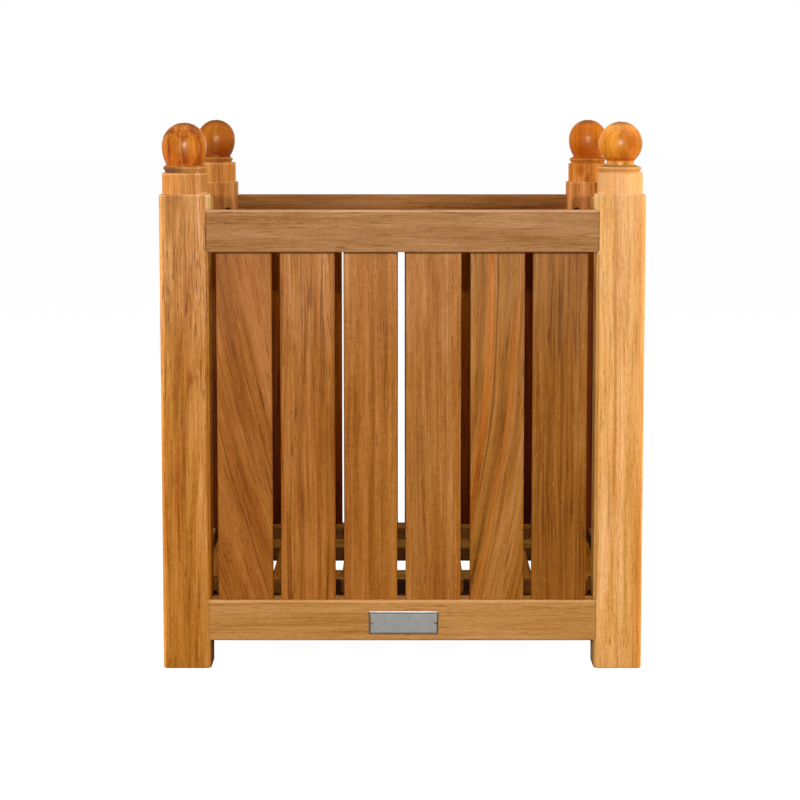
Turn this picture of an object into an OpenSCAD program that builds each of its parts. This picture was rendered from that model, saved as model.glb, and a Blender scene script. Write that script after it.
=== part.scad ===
// Square slatted planter box with a loose duckboard floor.
// Millimetres. The origin is at the centre of the footprint, on the ground.
// +Z is up, -Y is the front and +X is to the right seen from the front.

/* [Box] */
// Width and depth of the box over the outer faces of the posts
box_w = 508; // [500:1:530]
// Height of the posts' square shoulders above the ground
shoulder_z = 502; // [490:1:520]

/* [Posts] */
// Side of the square posts
post_w = 51; // [50:0.5:52]
// Radius of the posts' eased edges
post_r = 6; // [4:0.5:7]
// Diameter of the turned neck above each shoulder
neck_d = 47.4; // [44:0.2:50]
// Top of the turned necks: front left, front right, back left, back right
neck_top = [524.3, 524.3, 526, 524.6]; // [522:0.1:527]
// Diameter of the thin collar on each neck, in the same order
collar_d = [44.8, 45, 40.6, 45.2]; // [40:0.2:46]
// Diameter at the root of the undercut below the collars
undercut_d = 39.6; // [36:0.2:40]
// Height of the collars' sharp upper edges
collar_z = 530; // [528.5:0.1:531]
// Height of the seats that the balls stand on
seat_z = 532.6; // [531.5:0.1:534]

/* [Ball finials] */
// Largest diameter of each ball: front left, front right, back left, back right
ball_d = [47.4, 45.8, 46.4, 46.8]; // [44:0.2:48]
// Height of the top of each ball, in the same order
ball_top = [576.6, 577.8, 578, 578]; // [574:0.1:578]
// Diameter of the foot of each ball: front left, front right, back left, back right
ball_foot_d = [38.4, 29.6, 35, 36]; // [28:0.2:40]
// Height of the short stem under each ball, in the same order
ball_stem = [0.6, 4.6, 2, 1.4]; // [0.5:0.1:6]
// Diameter of the dowels that hold the balls
dowel_d = 10; // [8:0.5:12]

/* [Rails] */
// Thickness of the rails
rail_t = 22; // [20:0.5:24]
// Height of the rails
rail_h = 44; // [42:0.5:46]
// Radius of the rails' eased edges
rail_r = 2.5; // [1.5:0.1:3]
// How far the rails' outer faces lie behind the posts' outer faces
rail_back = 1.5; // [1:0.1:3]
// Underside of the top rails
top_rail_z = 442; // [438:0.5:446]
// Underside of the bottom rails
low_rail_z = 29.5; // [26:0.5:34]
// Depth that the full section of a rail is let into a post
housing = 5; // [3:0.5:6]
// Length of a tenon beyond the inner face of a post
tenon_l = 28; // [24:0.5:29]
// Thickness of the tenons
tenon_t = 12; // [10:0.5:12]
// Height of the tenons
tenon_h = 30; // [28:1:32]

/* [Wall slats] */
// Number of slats in each wall
slats_per_wall = 6; // [6:1:6]
// Width of each wall slat, left to right seen from outside
slat_w = [58.4, 57.8, 56.6, 58.6, 57, 57.8]; // [54:0.2:60]
// Distance from one wall slat to the next
slat_pitch = 66.3; // [64:0.1:66.8]
// How far each front slat stands from its even place
front_shift = [-0.4, -0.2, -0.4, -0.6, 0.4, -0.2]; // [-4:0.1:4]
// How far each back slat stands from its even place
back_shift = [0, 0, 1.7, 1.2, 3.7, 0]; // [-4:0.1:4]
// Thickness of a wall slat
slat_t = 12; // [10:0.5:12]
// How far the slats' outer faces lie behind the posts' outer faces
slat_back = 5.5; // [5:0.1:6.5]
// Radius of the slats' eased edges
slat_r = 2; // [1:0.1:3]
// Depth that each slat end enters its rail
slat_in = 8; // [6:0.5:10]

/* [Floor] */
// Number of floor slats
floor_slats = 6; // [6:1:6]
// Width of a floor slat
floor_w = 55.8; // [52:0.2:58]
// Distance from one floor slat to the next
floor_pitch = 75.4; // [72:0.2:76]
// Thickness of a floor slat
floor_t = 16.5; // [14:0.5:18]
// Length of a floor slat
floor_l = 437; // [430:1:440]
// Distance of the corner notches' inner sides from the centre line
notch_x = 199; // [186:0.5:201]
// Distance of the corner notches' ends from the centre line
notch_y = 200; // [190:0.5:201]
// Width of a floor batten
batten_w = 54; // [45:0.5:58]
// Thickness of a floor batten
batten_t = 18; // [14:0.5:18]
// Length of a floor batten
batten_l = 420; // [400:1:424]
// Distance of the battens' centre lines from the middle of the floor
batten_y = 102; // [90:0.5:110]
// Thickness of the cleats that carry the floor
cleat_t = 20; // [16:0.5:22]
// Height of the cleats
cleat_h = 30; // [26:0.5:34]

/* [Name plate] */
// Width of the bare metal plate
plate_w = 74; // [60:0.5:80]
// Height of the plate
plate_h = 25; // [20:0.5:27]
// Thickness of the plate
plate_t = 1; // [0.6:0.1:1]
// Sideways place of the plate's centre
plate_x = 1.4; // [-5:0.1:5]
// Height of the plate's centre
plate_z = 49.2; // [47:0.1:54]

/* [Hidden] */
half = box_w / 2;
post_c = half - post_w / 2;
post_in = half - post_w;
post_sx = [-1, 1, -1, 1];
post_sy = [-1, -1, 1, 1];
rail_c = half - rail_back - rail_t / 2;
slat_c = half - slat_back - slat_t / 2;
low_top = low_rail_z + rail_h;
cleat_c = half - rail_back - rail_t - cleat_t / 2;
floor_z = low_top;
lock_in = post_in + 10.5;
lock_up = 3;
lock_low = -9;
bore_d = 9;
bore_l = 12;
lock_l = 28;
lock_d = 4.4;
cleat_screws_x = [-150, 0, 150];
pin_x = plate_w / 2 - 3.4;
wood = "#b5702f";
wood_light = "#cf8f4e";
wood_ball = "#b9661f";

// Rectangle with rounded corners, centred.
module eased(w, t, r) {
    square([w - 2 * r, t], center = true);
    square([w, t - 2 * r], center = true);
    for (sx = [-1, 1], sy = [-1, 1])
        translate([sx * (w / 2 - r), sy * (t / 2 - r)]) circle(r = r, $fn = 32);
}

// Turns a piece of the front wall to its place: 0 front, 1 right, 2 back, 3 left.
module on_wall(wall) {
    rotate([0, 0, 90 * wall]) children();
}

// Upright board of a wall, n counted from 0.
module wall_slat_solid(wall, n) {
    shift = wall == 0 ? front_shift[n] : wall == 2 ? back_shift[n] : 0;
    translate([(n - (slats_per_wall - 1) / 2) * slat_pitch + shift, -slat_c, low_top - slat_in])
        linear_extrude(top_rail_z - low_top + 2 * slat_in) eased(slat_w[n], slat_t, slat_r);
}

// Rail with its housed ends and its tenons, before any hole is made.
module rail_solid(z0) {
    translate([0, -rail_c, z0 + rail_h / 2]) {
        rotate([90, 0, 90])
            linear_extrude(2 * (post_in + housing), center = true) eased(rail_t, rail_h, rail_r);
        cube([2 * (post_in + tenon_l), tenon_t, tenon_h], center = true);
    }
}

// Screw along +Z with its point at z = len. A flat head lies below z = 0, a pan head stands on it.
module screw(len, d, head, head_t, flat) {
    top = flat ? 0 : -head_t;
    difference() {
        union() {
            translate([0, 0, top]) cylinder(h = head_t, d1 = head, d2 = flat ? d : head, $fn = 32);
            translate([0, 0, top + 0.5]) cylinder(h = len - 4 - top - 0.5, d = d, $fn = 32);
            translate([0, 0, len - 4]) cylinder(h = 4, d1 = d, d2 = 0.8, $fn = 32);
        }
        for (a = [0, 90]) rotate([0, 0, a]) translate([0, 0, top])
            cube([head * 0.55, 1.1, head_t * 1.1], center = true);
    }
}

// Room for a screw: the bored or countersunk mouth and the shank's hole.
module screw_room(len, d, mouth, mouth_l, flat) {
    if (flat) {
        cylinder(h = mouth_l + 0.15, d1 = mouth + 0.3, d2 = d + 0.2, $fn = 32);
        translate([0, 0, -0.5]) cylinder(h = 0.5, d = mouth + 0.3, $fn = 32);
    } else translate([0, 0, -mouth_l]) cylinder(h = mouth_l, d = mouth, $fn = 32);
    translate([0, 0, -0.5]) cylinder(h = len + 1, d = d + 0.2, $fn = 32);
}

// Puts its child on each tenon's locking screw, at the bottom of the bored mouth.
module at_locks(walls = [0, 1, 2, 3], levels = [top_rail_z, low_rail_z]) {
    for (wall = walls, z0 = levels, s = [-1, 1])
        on_wall(wall)
            translate([s * lock_in, -(post_in + bore_l), z0 + rail_h / 2 + (wall % 2 == 0 ? lock_up : lock_low)])
                rotate([90, 0, 0]) children();
}

// The two walls that meet at a post.
function walls_of(i) = [post_sy[i] < 0 ? 0 : 2, post_sx[i] < 0 ? 3 : 1];

// Corner post with its turned neck and collar, i counted from 0.
module post(i) {
    color(wood_light)
    difference() {
        translate([post_sx[i] * post_c, post_sy[i] * post_c, 0]) {
            linear_extrude(shoulder_z) eased(post_w, post_w, post_r);
            rotate_extrude($fn = 64) polygon([
                [0, shoulder_z - 3], [neck_d / 2, shoulder_z - 3],
                [neck_d / 2, neck_top[i] - 0.6], [neck_d / 2 - 0.6, neck_top[i]],
                [min(undercut_d, collar_d[i] - 4) / 2, neck_top[i]],
                [collar_d[i] / 2, collar_z - 0.6], [collar_d[i] / 2, collar_z],
                [ball_foot_d[i] / 2 + 0.4, seat_z], [0, seat_z]
            ]);
        }
        for (wall = walls_of(i), z0 = [top_rail_z, low_rail_z]) on_wall(wall) rail_solid(z0);
        at_locks(walls_of(i)) screw_room(lock_l, lock_d, bore_d, bore_l + 1, false);
        translate([post_sx[i] * post_c, post_sy[i] * post_c, seat_z - 18])
            cylinder(h = 19, d = dowel_d, $fn = 32);
    }
}

// Half outline of a ball finial, from its foot up to its crown.
function ball_outline(i) =
    let (ball_r = ball_d[i] / 2, ball_c = ball_top[i] - ball_r - 0.4,
         foot = ball_foot_d[i] / 2, z1 = seat_z + ball_stem[i],
         a0 = acos(foot / ball_r), b = (ball_c - z1) / sin(a0), up = ball_top[i] - ball_c)
    concat(
        [[foot, seat_z], [foot - 0.25, seat_z + ball_stem[i] * 0.45]],
        [for (k = [0:9]) let (a = a0 * (1 - k / 10)) [ball_r * cos(a), ball_c - b * sin(a)]],
        [for (k = [0:11]) let (a = 90 * k / 12) [ball_r * cos(a), ball_c + up * sin(a)]]
    );

// Turned ball with its foot, i counted from 0.
module finial(i) {
    color(wood_ball)
    difference() {
        translate([post_sx[i] * post_c, post_sy[i] * post_c, 0])
            rotate_extrude($fn = 64)
                polygon(concat([[0, seat_z]], ball_outline(i), [[0, ball_top[i]]]));
        translate([post_sx[i] * post_c, post_sy[i] * post_c, seat_z - 1])
            cylinder(h = 18, d = dowel_d, $fn = 32);
    }
}

// Dowels between the posts and the balls.
module finial_dowels() {
    color("#d9b27c")
    for (i = [0:3]) translate([post_sx[i] * post_c, post_sy[i] * post_c, seat_z - 17])
        cylinder(h = 33, d = dowel_d - 0.2, $fn = 32);
}

// Top or bottom rail of a wall with the mortises of its slats.
module rail(wall, z0) {
    color(wood)
    difference() {
        on_wall(wall) rail_solid(z0);
        for (n = [0:slats_per_wall - 1]) on_wall(wall) wall_slat_solid(wall, n);
        at_locks([wall], [z0]) screw_room(lock_l, lock_d, bore_d, bore_l + 1, false);
        if (z0 == low_rail_z && wall % 2 == 0) at_cleat_screws(wall) screw_room(34, 4, 8, 4, true);
        if (z0 == low_rail_z && wall == 0) at_plate_pins() cylinder(h = 8, d = 1.8, $fn = 24);
    }
}

// Upright board of a wall.
module wall_slat(wall, n) {
    color(wood) on_wall(wall) wall_slat_solid(wall, n);
}

// Puts its child on each screw of the front cleat (0) or the back cleat (2).
module at_cleat_screws(wall) {
    on_wall(wall) for (x = cleat_screws_x)
        translate([x, -(cleat_c - cleat_t / 2), low_top - cleat_h / 2 - 2]) rotate([90, 0, 0]) children();
}

// Cleat along the inside of the front (0) or the back (2) bottom rail.
module cleat(wall) {
    color(wood)
    difference() {
        on_wall(wall) translate([0, -cleat_c, low_top - cleat_h / 2]) rotate([90, 0, 90])
            linear_extrude(2 * post_in - 2, center = true) eased(cleat_t, cleat_h, 1.5);
        at_cleat_screws(wall) screw_room(34, 4, 8, 4, true);
    }
}

// Puts its child on each screw that joins a batten to a floor slat, seen from below.
module at_floor_screws(slats, ends = [-1, 1]) {
    for (n = slats, s = ends)
        translate([(n - (floor_slats - 1) / 2) * floor_pitch, s * batten_y, floor_z - batten_t]) children();
}

// Board of the loose floor, n counted from 0; the outer two are notched for the posts.
module floor_slat(n) {
    x = (n - (floor_slats - 1) / 2) * floor_pitch;
    color(wood)
    difference() {
        translate([x, 0, floor_z + floor_t / 2]) rotate([90, 0, 0])
            linear_extrude(floor_l, center = true) eased(floor_w, floor_t, 2.5);
        if (n == 0 || n == floor_slats - 1) {
            s = n == 0 ? -1 : 1;
            for (e = [-1, 1])
                translate([s * (notch_x + 25), e * (notch_y + 25), floor_z + floor_t / 2])
                    cube([50, 50, floor_t + 2], center = true);
        }
        at_floor_screws([n]) screw_room(27, 4, 8, 4, true);
    }
}

// Batten under the floor slats, s is -1 for the front one and 1 for the back one.
module floor_batten(s) {
    color(wood)
    difference() {
        translate([0, s * batten_y, floor_z - batten_t / 2]) rotate([90, 0, 90])
            linear_extrude(batten_l, center = true) eased(batten_w, batten_t, 2);
        at_floor_screws([0:floor_slats - 1], [s]) screw_room(27, 4, 8, 4, true);
    }
}

// Puts its child on each pin of the plate, pointing into the rail.
module at_plate_pins() {
    for (s = [-1, 1])
        translate([plate_x + s * pin_x, -(half - rail_back + plate_t), plate_z]) rotate([-90, 0, 0]) children();
}

// Bare metal plate on the front bottom rail.
module name_plate() {
    color("#a9a9a4")
    difference() {
        translate([plate_x, -(half - rail_back), plate_z]) rotate([90, 0, 0])
            linear_extrude(plate_t) eased(plate_w, plate_h, 1.2);
        at_plate_pins() translate([0, 0, -1]) cylinder(h = 4, d = 1.8, $fn = 24);
    }
}

// The two pins that hold the plate.
module plate_pins() {
    color("#b08d57")
    at_plate_pins() {
        cylinder(h = 7, d = 1.6, $fn = 24);
        translate([0, 0, -0.45]) cylinder(h = 0.45, d = 3, $fn = 24);
    }
}

// Screws through the posts that lock the rails' tenons.
module frame_screws() {
    color("#8c8c8c") at_locks() screw(lock_l, lock_d, 8, 3, false);
}

// Screws that hold the cleats to the bottom rails.
module cleat_screws() {
    color("#8c8c8c") for (wall = [0, 2]) at_cleat_screws(wall) screw(34, 4, 8, 4, true);
}

// Screws that hold the floor slats to their battens.
module floor_screws() {
    color("#8c8c8c") at_floor_screws([0:floor_slats - 1]) screw(27, 4, 8, 4, true);
}

post(0);  // post_front_left
post(1);  // post_front_right
post(2);  // post_back_left
post(3);  // post_back_right
finial(0);  // finial_front_left
finial(1);  // finial_front_right
finial(2);  // finial_back_left
finial(3);  // finial_back_right
rail(0, top_rail_z);  // rail_top_front
rail(1, top_rail_z);  // rail_top_right
rail(2, top_rail_z);  // rail_top_back
rail(3, top_rail_z);  // rail_top_left
rail(0, low_rail_z);  // rail_bottom_front
rail(1, low_rail_z);  // rail_bottom_right
rail(2, low_rail_z);  // rail_bottom_back
rail(3, low_rail_z);  // rail_bottom_left
wall_slat(0, 0);  // slat_front_1
wall_slat(0, 1);  // slat_front_2
wall_slat(0, 2);  // slat_front_3
wall_slat(0, 3);  // slat_front_4
wall_slat(0, 4);  // slat_front_5
wall_slat(0, 5);  // slat_front_6
wall_slat(1, 0);  // slat_right_1
wall_slat(1, 1);  // slat_right_2
wall_slat(1, 2);  // slat_right_3
wall_slat(1, 3);  // slat_right_4
wall_slat(1, 4);  // slat_right_5
wall_slat(1, 5);  // slat_right_6
wall_slat(2, 0);  // slat_back_1
wall_slat(2, 1);  // slat_back_2
wall_slat(2, 2);  // slat_back_3
wall_slat(2, 3);  // slat_back_4
wall_slat(2, 4);  // slat_back_5
wall_slat(2, 5);  // slat_back_6
wall_slat(3, 0);  // slat_left_1
wall_slat(3, 1);  // slat_left_2
wall_slat(3, 2);  // slat_left_3
wall_slat(3, 3);  // slat_left_4
wall_slat(3, 4);  // slat_left_5
wall_slat(3, 5);  // slat_left_6
cleat(0);  // cleat_front
cleat(2);  // cleat_back
floor_slat(0);  // floor_slat_1
floor_slat(1);  // floor_slat_2
floor_slat(2);  // floor_slat_3
floor_slat(3);  // floor_slat_4
floor_slat(4);  // floor_slat_5
floor_slat(5);  // floor_slat_6
floor_batten(-1);  // floor_batten_front
floor_batten(1);  // floor_batten_back
name_plate();
plate_pins();
finial_dowels();
frame_screws();
cleat_screws();
floor_screws();
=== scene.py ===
"""Looks of the square planter box: detailed teak pieces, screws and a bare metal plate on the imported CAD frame.
Metres, in the CAD frame: +Z up, -Y front, +X right. Sizes below are written in millimetres and scaled by MM."""
import math
import random

import bmesh
import bpy
import numpy as np
from mathutils import Matrix, Vector, noise


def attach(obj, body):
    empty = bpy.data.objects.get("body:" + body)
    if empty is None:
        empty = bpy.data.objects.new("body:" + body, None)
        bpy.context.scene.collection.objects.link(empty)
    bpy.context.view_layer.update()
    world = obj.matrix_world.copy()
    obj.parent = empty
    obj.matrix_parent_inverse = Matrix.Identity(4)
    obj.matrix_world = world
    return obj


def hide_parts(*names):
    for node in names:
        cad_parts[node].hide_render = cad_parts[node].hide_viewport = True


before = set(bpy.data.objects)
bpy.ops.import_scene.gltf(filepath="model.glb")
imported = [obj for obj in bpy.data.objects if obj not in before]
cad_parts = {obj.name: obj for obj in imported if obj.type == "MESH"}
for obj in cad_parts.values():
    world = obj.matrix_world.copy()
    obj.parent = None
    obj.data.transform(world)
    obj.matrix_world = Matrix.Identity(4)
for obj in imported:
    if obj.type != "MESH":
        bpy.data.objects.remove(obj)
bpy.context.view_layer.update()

MM = 0.001

# ---------------------------------------------------------------- sizes, as in the CAD model (mm)
HALF = 254.0
SHOULDER = 502.0
POST_W, POST_R = 51.0, 6.0
POST_C = HALF - POST_W / 2
POST_IN = HALF - POST_W
NECK_D = 47.4
NECK_TOP = [524.3, 524.3, 526.0, 524.6]
COLLAR_D = [44.8, 45.0, 40.6, 45.2]
UNDERCUT_D = 39.6
COLLAR_Z = 530.0
SEAT_Z = 532.6
BALL_D = [47.4, 45.8, 46.4, 46.8]
BALL_TOP = [576.6, 577.8, 578.0, 578.0]
BALL_FOOT = [38.4, 29.6, 35.0, 36.0]
BALL_STEM = [0.6, 4.6, 2.0, 1.4]
RAIL_T, RAIL_H, RAIL_R, RAIL_BACK = 22.0, 44.0, 2.5, 1.5
RAIL_C = HALF - RAIL_BACK - RAIL_T / 2
TOP_RAIL_Z, LOW_RAIL_Z = 442.0, 29.5
HOUSING, TENON_L, TENON_T, TENON_H = 5.0, 28.0, 12.0, 30.0
LOW_TOP = LOW_RAIL_Z + RAIL_H
SLAT_W = [58.4, 57.8, 56.6, 58.6, 57.0, 57.8]
PITCH = 66.3
SHIFT = {0: [-0.4, -0.2, -0.4, -0.6, 0.4, -0.2], 1: [0] * 6, 2: [0, 0, 1.7, 1.2, 3.7, 0], 3: [0] * 6}
SLAT_T, SLAT_R, SLAT_IN = 12.0, 2.0, 8.0
SLAT_C = HALF - 5.5 - SLAT_T / 2
FLOOR_W, FLOOR_PITCH, FLOOR_T, FLOOR_L = 55.8, 75.4, 16.5, 437.0
NOTCH_X, NOTCH_Y = 199.0, 200.0
BATTEN_W, BATTEN_T, BATTEN_L, BATTEN_Y = 54.0, 18.0, 420.0, 102.0
CLEAT_T, CLEAT_H = 20.0, 30.0
CLEAT_C = HALF - RAIL_BACK - RAIL_T - CLEAT_T / 2
PLATE_W, PLATE_H, PLATE_T, PLATE_X, PLATE_Z = 74.0, 25.0, 1.0, 1.4, 49.2
PIN_X = PLATE_W / 2 - 3.4
LOCK_IN, LOCK_L, BORE_D, BORE_L = POST_IN + 10.5, 28.0, 9.0, 12.0
POST_XY = [(-1, -1), (1, -1), (-1, 1), (1, 1)]
CORNERS = ["front_left", "front_right", "back_left", "back_right"]
WALLS = ["front", "right", "back", "left"]


# ---------------------------------------------------------------- node helpers
class Graph:
    """Builds a material's node tree in a few words."""

    def __init__(self, name):
        self.mat = bpy.data.materials.new(name)
        self.mat.use_nodes = True
        self.tree = self.mat.node_tree
        self.tree.nodes.clear()
        self.out = self.tree.nodes.new("ShaderNodeOutputMaterial")

    def put(self, socket, value):
        if isinstance(value, bpy.types.NodeSocket):
            self.tree.links.new(value, socket)
        elif value is not None:
            socket.default_value = value

    def node(self, kind, **props):
        n = self.tree.nodes.new(kind)
        for key, value in props.items():
            setattr(n, key, value)
        return n

    def math(self, op, a, b=None, c=None, clamp=False):
        n = self.node("ShaderNodeMath", operation=op, use_clamp=clamp)
        for i, value in enumerate((a, b, c)):
            if value is not None:
                self.put(n.inputs[i], value)
        return n.outputs[0]

    def vmath(self, op, a, b=None):
        n = self.node("ShaderNodeVectorMath", operation=op)
        self.put(n.inputs[0], a)
        if b is not None:
            self.put(n.inputs["Scale"] if op == "SCALE" else n.inputs[1], b)
        return n.outputs["Value"] if op in ("LENGTH", "DOT_PRODUCT", "DISTANCE") else n.outputs[0]

    def split(self, vector):
        n = self.node("ShaderNodeSeparateXYZ")
        self.put(n.inputs[0], vector)
        return list(n.outputs)

    def join(self, x, y, z):
        n = self.node("ShaderNodeCombineXYZ")
        for i, value in enumerate((x, y, z)):
            self.put(n.inputs[i], value)
        return n.outputs[0]

    def noise(self, vector, detail=2.0, rough=0.5, dims="3D", lac=2.0):
        n = self.node("ShaderNodeTexNoise", noise_dimensions=dims)
        if dims == "1D":
            self.put(n.inputs["W"], vector)
        else:
            self.put(n.inputs["Vector"], vector)
        n.inputs["Scale"].default_value = 1.0
        n.inputs["Detail"].default_value = detail
        n.inputs["Roughness"].default_value = rough
        n.inputs["Lacunarity"].default_value = lac
        return n.outputs[0]

    def noise_vec(self, vector, detail=1.0):
        n = self.node("ShaderNodeTexNoise", noise_dimensions="3D")
        self.put(n.inputs["Vector"], vector)
        n.inputs["Scale"].default_value = 1.0
        n.inputs["Detail"].default_value = detail
        return n.outputs[1]

    def white(self, w):
        n = self.node("ShaderNodeTexWhiteNoise", noise_dimensions="1D")
        self.put(n.inputs["W"], w)
        return n.outputs["Value"]

    def range(self, value, lo, hi, to_lo=0.0, to_hi=1.0, smooth=True):
        n = self.node("ShaderNodeMapRange", interpolation_type="SMOOTHSTEP" if smooth else "LINEAR", clamp=True)
        self.put(n.inputs[0], value)
        for i, v in zip((1, 2, 3, 4), (lo, hi, to_lo, to_hi)):
            self.put(n.inputs[i], v)
        return n.outputs[0]

    def mix(self, factor, a, b, blend="MIX"):
        n = self.node("ShaderNodeMix", data_type="RGBA", blend_type=blend, clamp_factor=True)
        self.put(n.inputs[0], factor)
        self.put(n.inputs[6], a if isinstance(a, bpy.types.NodeSocket) else (*a[:3], 1.0))
        self.put(n.inputs[7], b if isinstance(b, bpy.types.NodeSocket) else (*b[:3], 1.0))
        return n.outputs[2]

    def ramp(self, value, stops, mode="LINEAR"):
        n = self.node("ShaderNodeValToRGB")
        n.color_ramp.interpolation = mode
        elements = n.color_ramp.elements
        while len(elements) < len(stops):
            elements.new(0.5)
        for element, (at, colour) in zip(elements, stops):
            element.position = at
            element.color = (*colour, 1.0)
        self.put(n.inputs[0], value)
        return n.outputs[0]

    def scaled(self, vector, x, y, z, shift=(0.0, 0.0, 0.0)):
        n = self.node("ShaderNodeMapping")
        self.put(n.inputs["Vector"], vector)
        n.inputs["Scale"].default_value = (x, y, z)
        n.inputs["Location"].default_value = shift
        return n.outputs[0]


# ---------------------------------------------------------------- teak
AXES = {"X": 0, "Y": 1, "Z": 2}


def tinted(colour, r, g, b):
    return tuple(max(0.0, min(1.0, c * k)) for c, k in zip(colour, (r, g, b)))


def teak(name, u, v, w, centre, half, base, seed, **o):
    """Teak of one piece. u, v and w name the world axes across its face, through it and along its grain.
    centre is its middle and half its half width and half thickness (mm). base is the mean colour, linear.
    pith (mm from the centre, across and through), tilt (mm across per mm along), bend and ring (mm) set the figure."""
    rng = random.Random(seed * 7919 + 13)
    opt = dict(pith=(rng.uniform(-60, 60), rng.choice((-1, 1)) * rng.uniform(45, 110)), tilt=(rng.uniform(-0.02, 0.02), rng.uniform(-0.05, 0.05)),
               ring=rng.uniform(3.4, 5.4), bend=0.0, line=0.4, tone=0.5, streak=0.7, mid=0.6, fine=0.45, pore=0.5, big_pore=0.7,
               fleck=0.25, mineral=0.5, patch=0.4, silk=0.12, edge=0.35, edge_mm=2.2, rough=0.5, coat=0.0, coat_rough=0.2,
               wave=3.0, wave_l=170.0, bump=1.0, spec=0.12, end_dark=0.62, dark=(0.34, 0.20, 0.045), light=(1.42, 1.68, 3.0),
               knots=(), stripes=(), red=0.12, faces=(), neck=None, bands=(), low=None, fibre=0.35, pale=0.0, pale_z=(300.0, 430.0), fall=0.0, ends=None, fall_off=None, painted_shade_hems=(), sheen=0.0, ior=1.45, spec_tint=None, dash=0.0, dash_w=(0.0, 9999.0))
    opt.update(o)
    g = Graph(name)
    s = [rng.uniform(-400, 400) for _ in range(12)]

    coords = g.node("ShaderNodeTexCoord").outputs["Object"]
    world = g.vmath("SUBTRACT", g.vmath("SCALE", coords, 1000.0), tuple(centre))
    xyz = g.split(world)
    pu, pv, pw = xyz[AXES[u]], xyz[AXES[v]], xyz[AXES[w]]
    local = g.join(pu, pv, pw)

    # The log: a slow warp, the tilt of the grain and bends round knots.
    warp = g.noise_vec(g.scaled(local, 1 / 42, 1 / 42, 1 / opt["wave_l"], (s[0], s[1], s[2])), 1.0)
    warp = g.vmath("SCALE", g.vmath("SUBTRACT", warp, (0.5, 0.5, 0.5)), opt["wave"] * 2.0)
    wu, wv, _ = g.split(warp)
    gu = g.math("ADD", pu, g.math("MULTIPLY_ADD", pw, opt["tilt"][0], wu))
    if opt["bend"]:
        gu = g.math("ADD", gu, g.math("MULTIPLY", g.math("MULTIPLY", pw, pw), opt["bend"]))
    gv = g.math("ADD", pv, g.math("MULTIPLY_ADD", pw, opt["tilt"][1], wv))
    knot_dark = None
    for ku, kw, size, push in opt["knots"]:
        ou = g.math("SUBTRACT", pu, ku)
        ow = g.math("SUBTRACT", pw, kw)
        fall = g.math("EXPONENT", g.math("MULTIPLY", g.math("ADD", g.math("POWER", g.math("DIVIDE", ou, size), 2.0),
                                                            g.math("POWER", g.math("DIVIDE", ow, size * 1.6), 2.0)), -1.0))
        if push:
            gu = g.math("ADD", gu, g.math("MULTIPLY", g.math("MULTIPLY", fall, push), g.math("TANH", g.math("DIVIDE", ou, size * 0.35))))
        knot_dark = fall if knot_dark is None else g.math("MAXIMUM", knot_dark, fall)
    grain = g.join(gu, gv, pw)

    # Growth rings.
    du = g.math("SUBTRACT", gu, opt["pith"][0])
    dv = g.math("SUBTRACT", gv, opt["pith"][1])
    rho = g.math("DIVIDE", g.math("SQRT", g.math("ADD", g.math("MULTIPLY", du, du), g.math("MULTIPLY", dv, dv))), opt["ring"])
    rho = g.math("ADD", rho, g.math("MULTIPLY", g.noise(g.math("ADD", g.math("MULTIPLY", rho, 0.45), s[3]), 2.0, 0.6, "1D"), 2.4))
    step = g.math("FRACT", rho)
    ring_tone = g.white(g.math("ADD", g.math("FLOOR", rho), s[4]))
    late = g.math("MULTIPLY", g.math("POWER", step, 4.5), g.math("MULTIPLY_ADD", ring_tone, 0.85, 0.15))
    late = g.math("SUBTRACT", late, g.math("MULTIPLY", g.range(step, 0.965, 1.0), 0.5), clamp=True)

    # Streaks along the grain, from broad to fine, open pores, pale flecks and thin dark lines.
    broad = g.noise(g.scaled(grain, 1 / 9.5, 1 / 9.5, 1 / 330, (s[5], s[6], s[7])), 2.0, 0.55)
    mid = g.noise(g.scaled(grain, 1 / 2.6, 1 / 2.6, 1 / 120, (s[7], s[5], s[2])), 2.0, 0.55)
    fine = g.noise(g.scaled(grain, 1 / 0.9, 1 / 0.9, 1 / 34, (s[6], s[7], s[5])), 2.0, 0.6)
    pore = g.noise(g.scaled(grain, 1 / 0.45, 1 / 0.45, 1 / 6.5, (s[8], s[9], s[3])), 1.0, 0.5)
    pore = g.math("MULTIPLY", g.range(pore, 0.60, 0.72), g.math("MULTIPLY_ADD", g.math("SUBTRACT", 1.0, step), 0.5, 0.5))
    dash = g.noise(g.scaled(grain, 1 / 0.95, 1 / 0.95, 1 / 24, (s[9], s[8], s[10])), 1.0, 0.5)
    pore2 = g.range(dash, 0.67, 0.74)
    fleck = g.range(g.noise(g.scaled(grain, 1 / 0.9, 1 / 0.9, 1 / 8, (s[1], s[2], s[8])), 1.0, 0.5), 0.71, 0.77)
    patch = g.noise(g.scaled(grain, 1 / 24, 1 / 24, 1 / 150, (s[10], s[0], s[9])), 2.0, 0.5)
    silk = g.noise(g.scaled(local, 1 / 9, 1 / 2.2, 1 / 1.2, (s[11], s[4], s[1])), 2.0, 0.55)
    crest = g.math("ABSOLUTE", g.math("SUBTRACT", g.noise(g.scaled(grain, 1 / 7.5, 1 / 7.5, 1 / 420, (s[4], s[11], s[0])), 1.0, 0.5), 0.5))
    mineral = g.math("MULTIPLY", g.range(crest, 0.024, 0.0), g.range(g.noise(g.scaled(grain, 1 / 12, 1 / 12, 1 / 120, (s[3], s[1], s[4])), 1.0), 0.44, 0.60))

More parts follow.
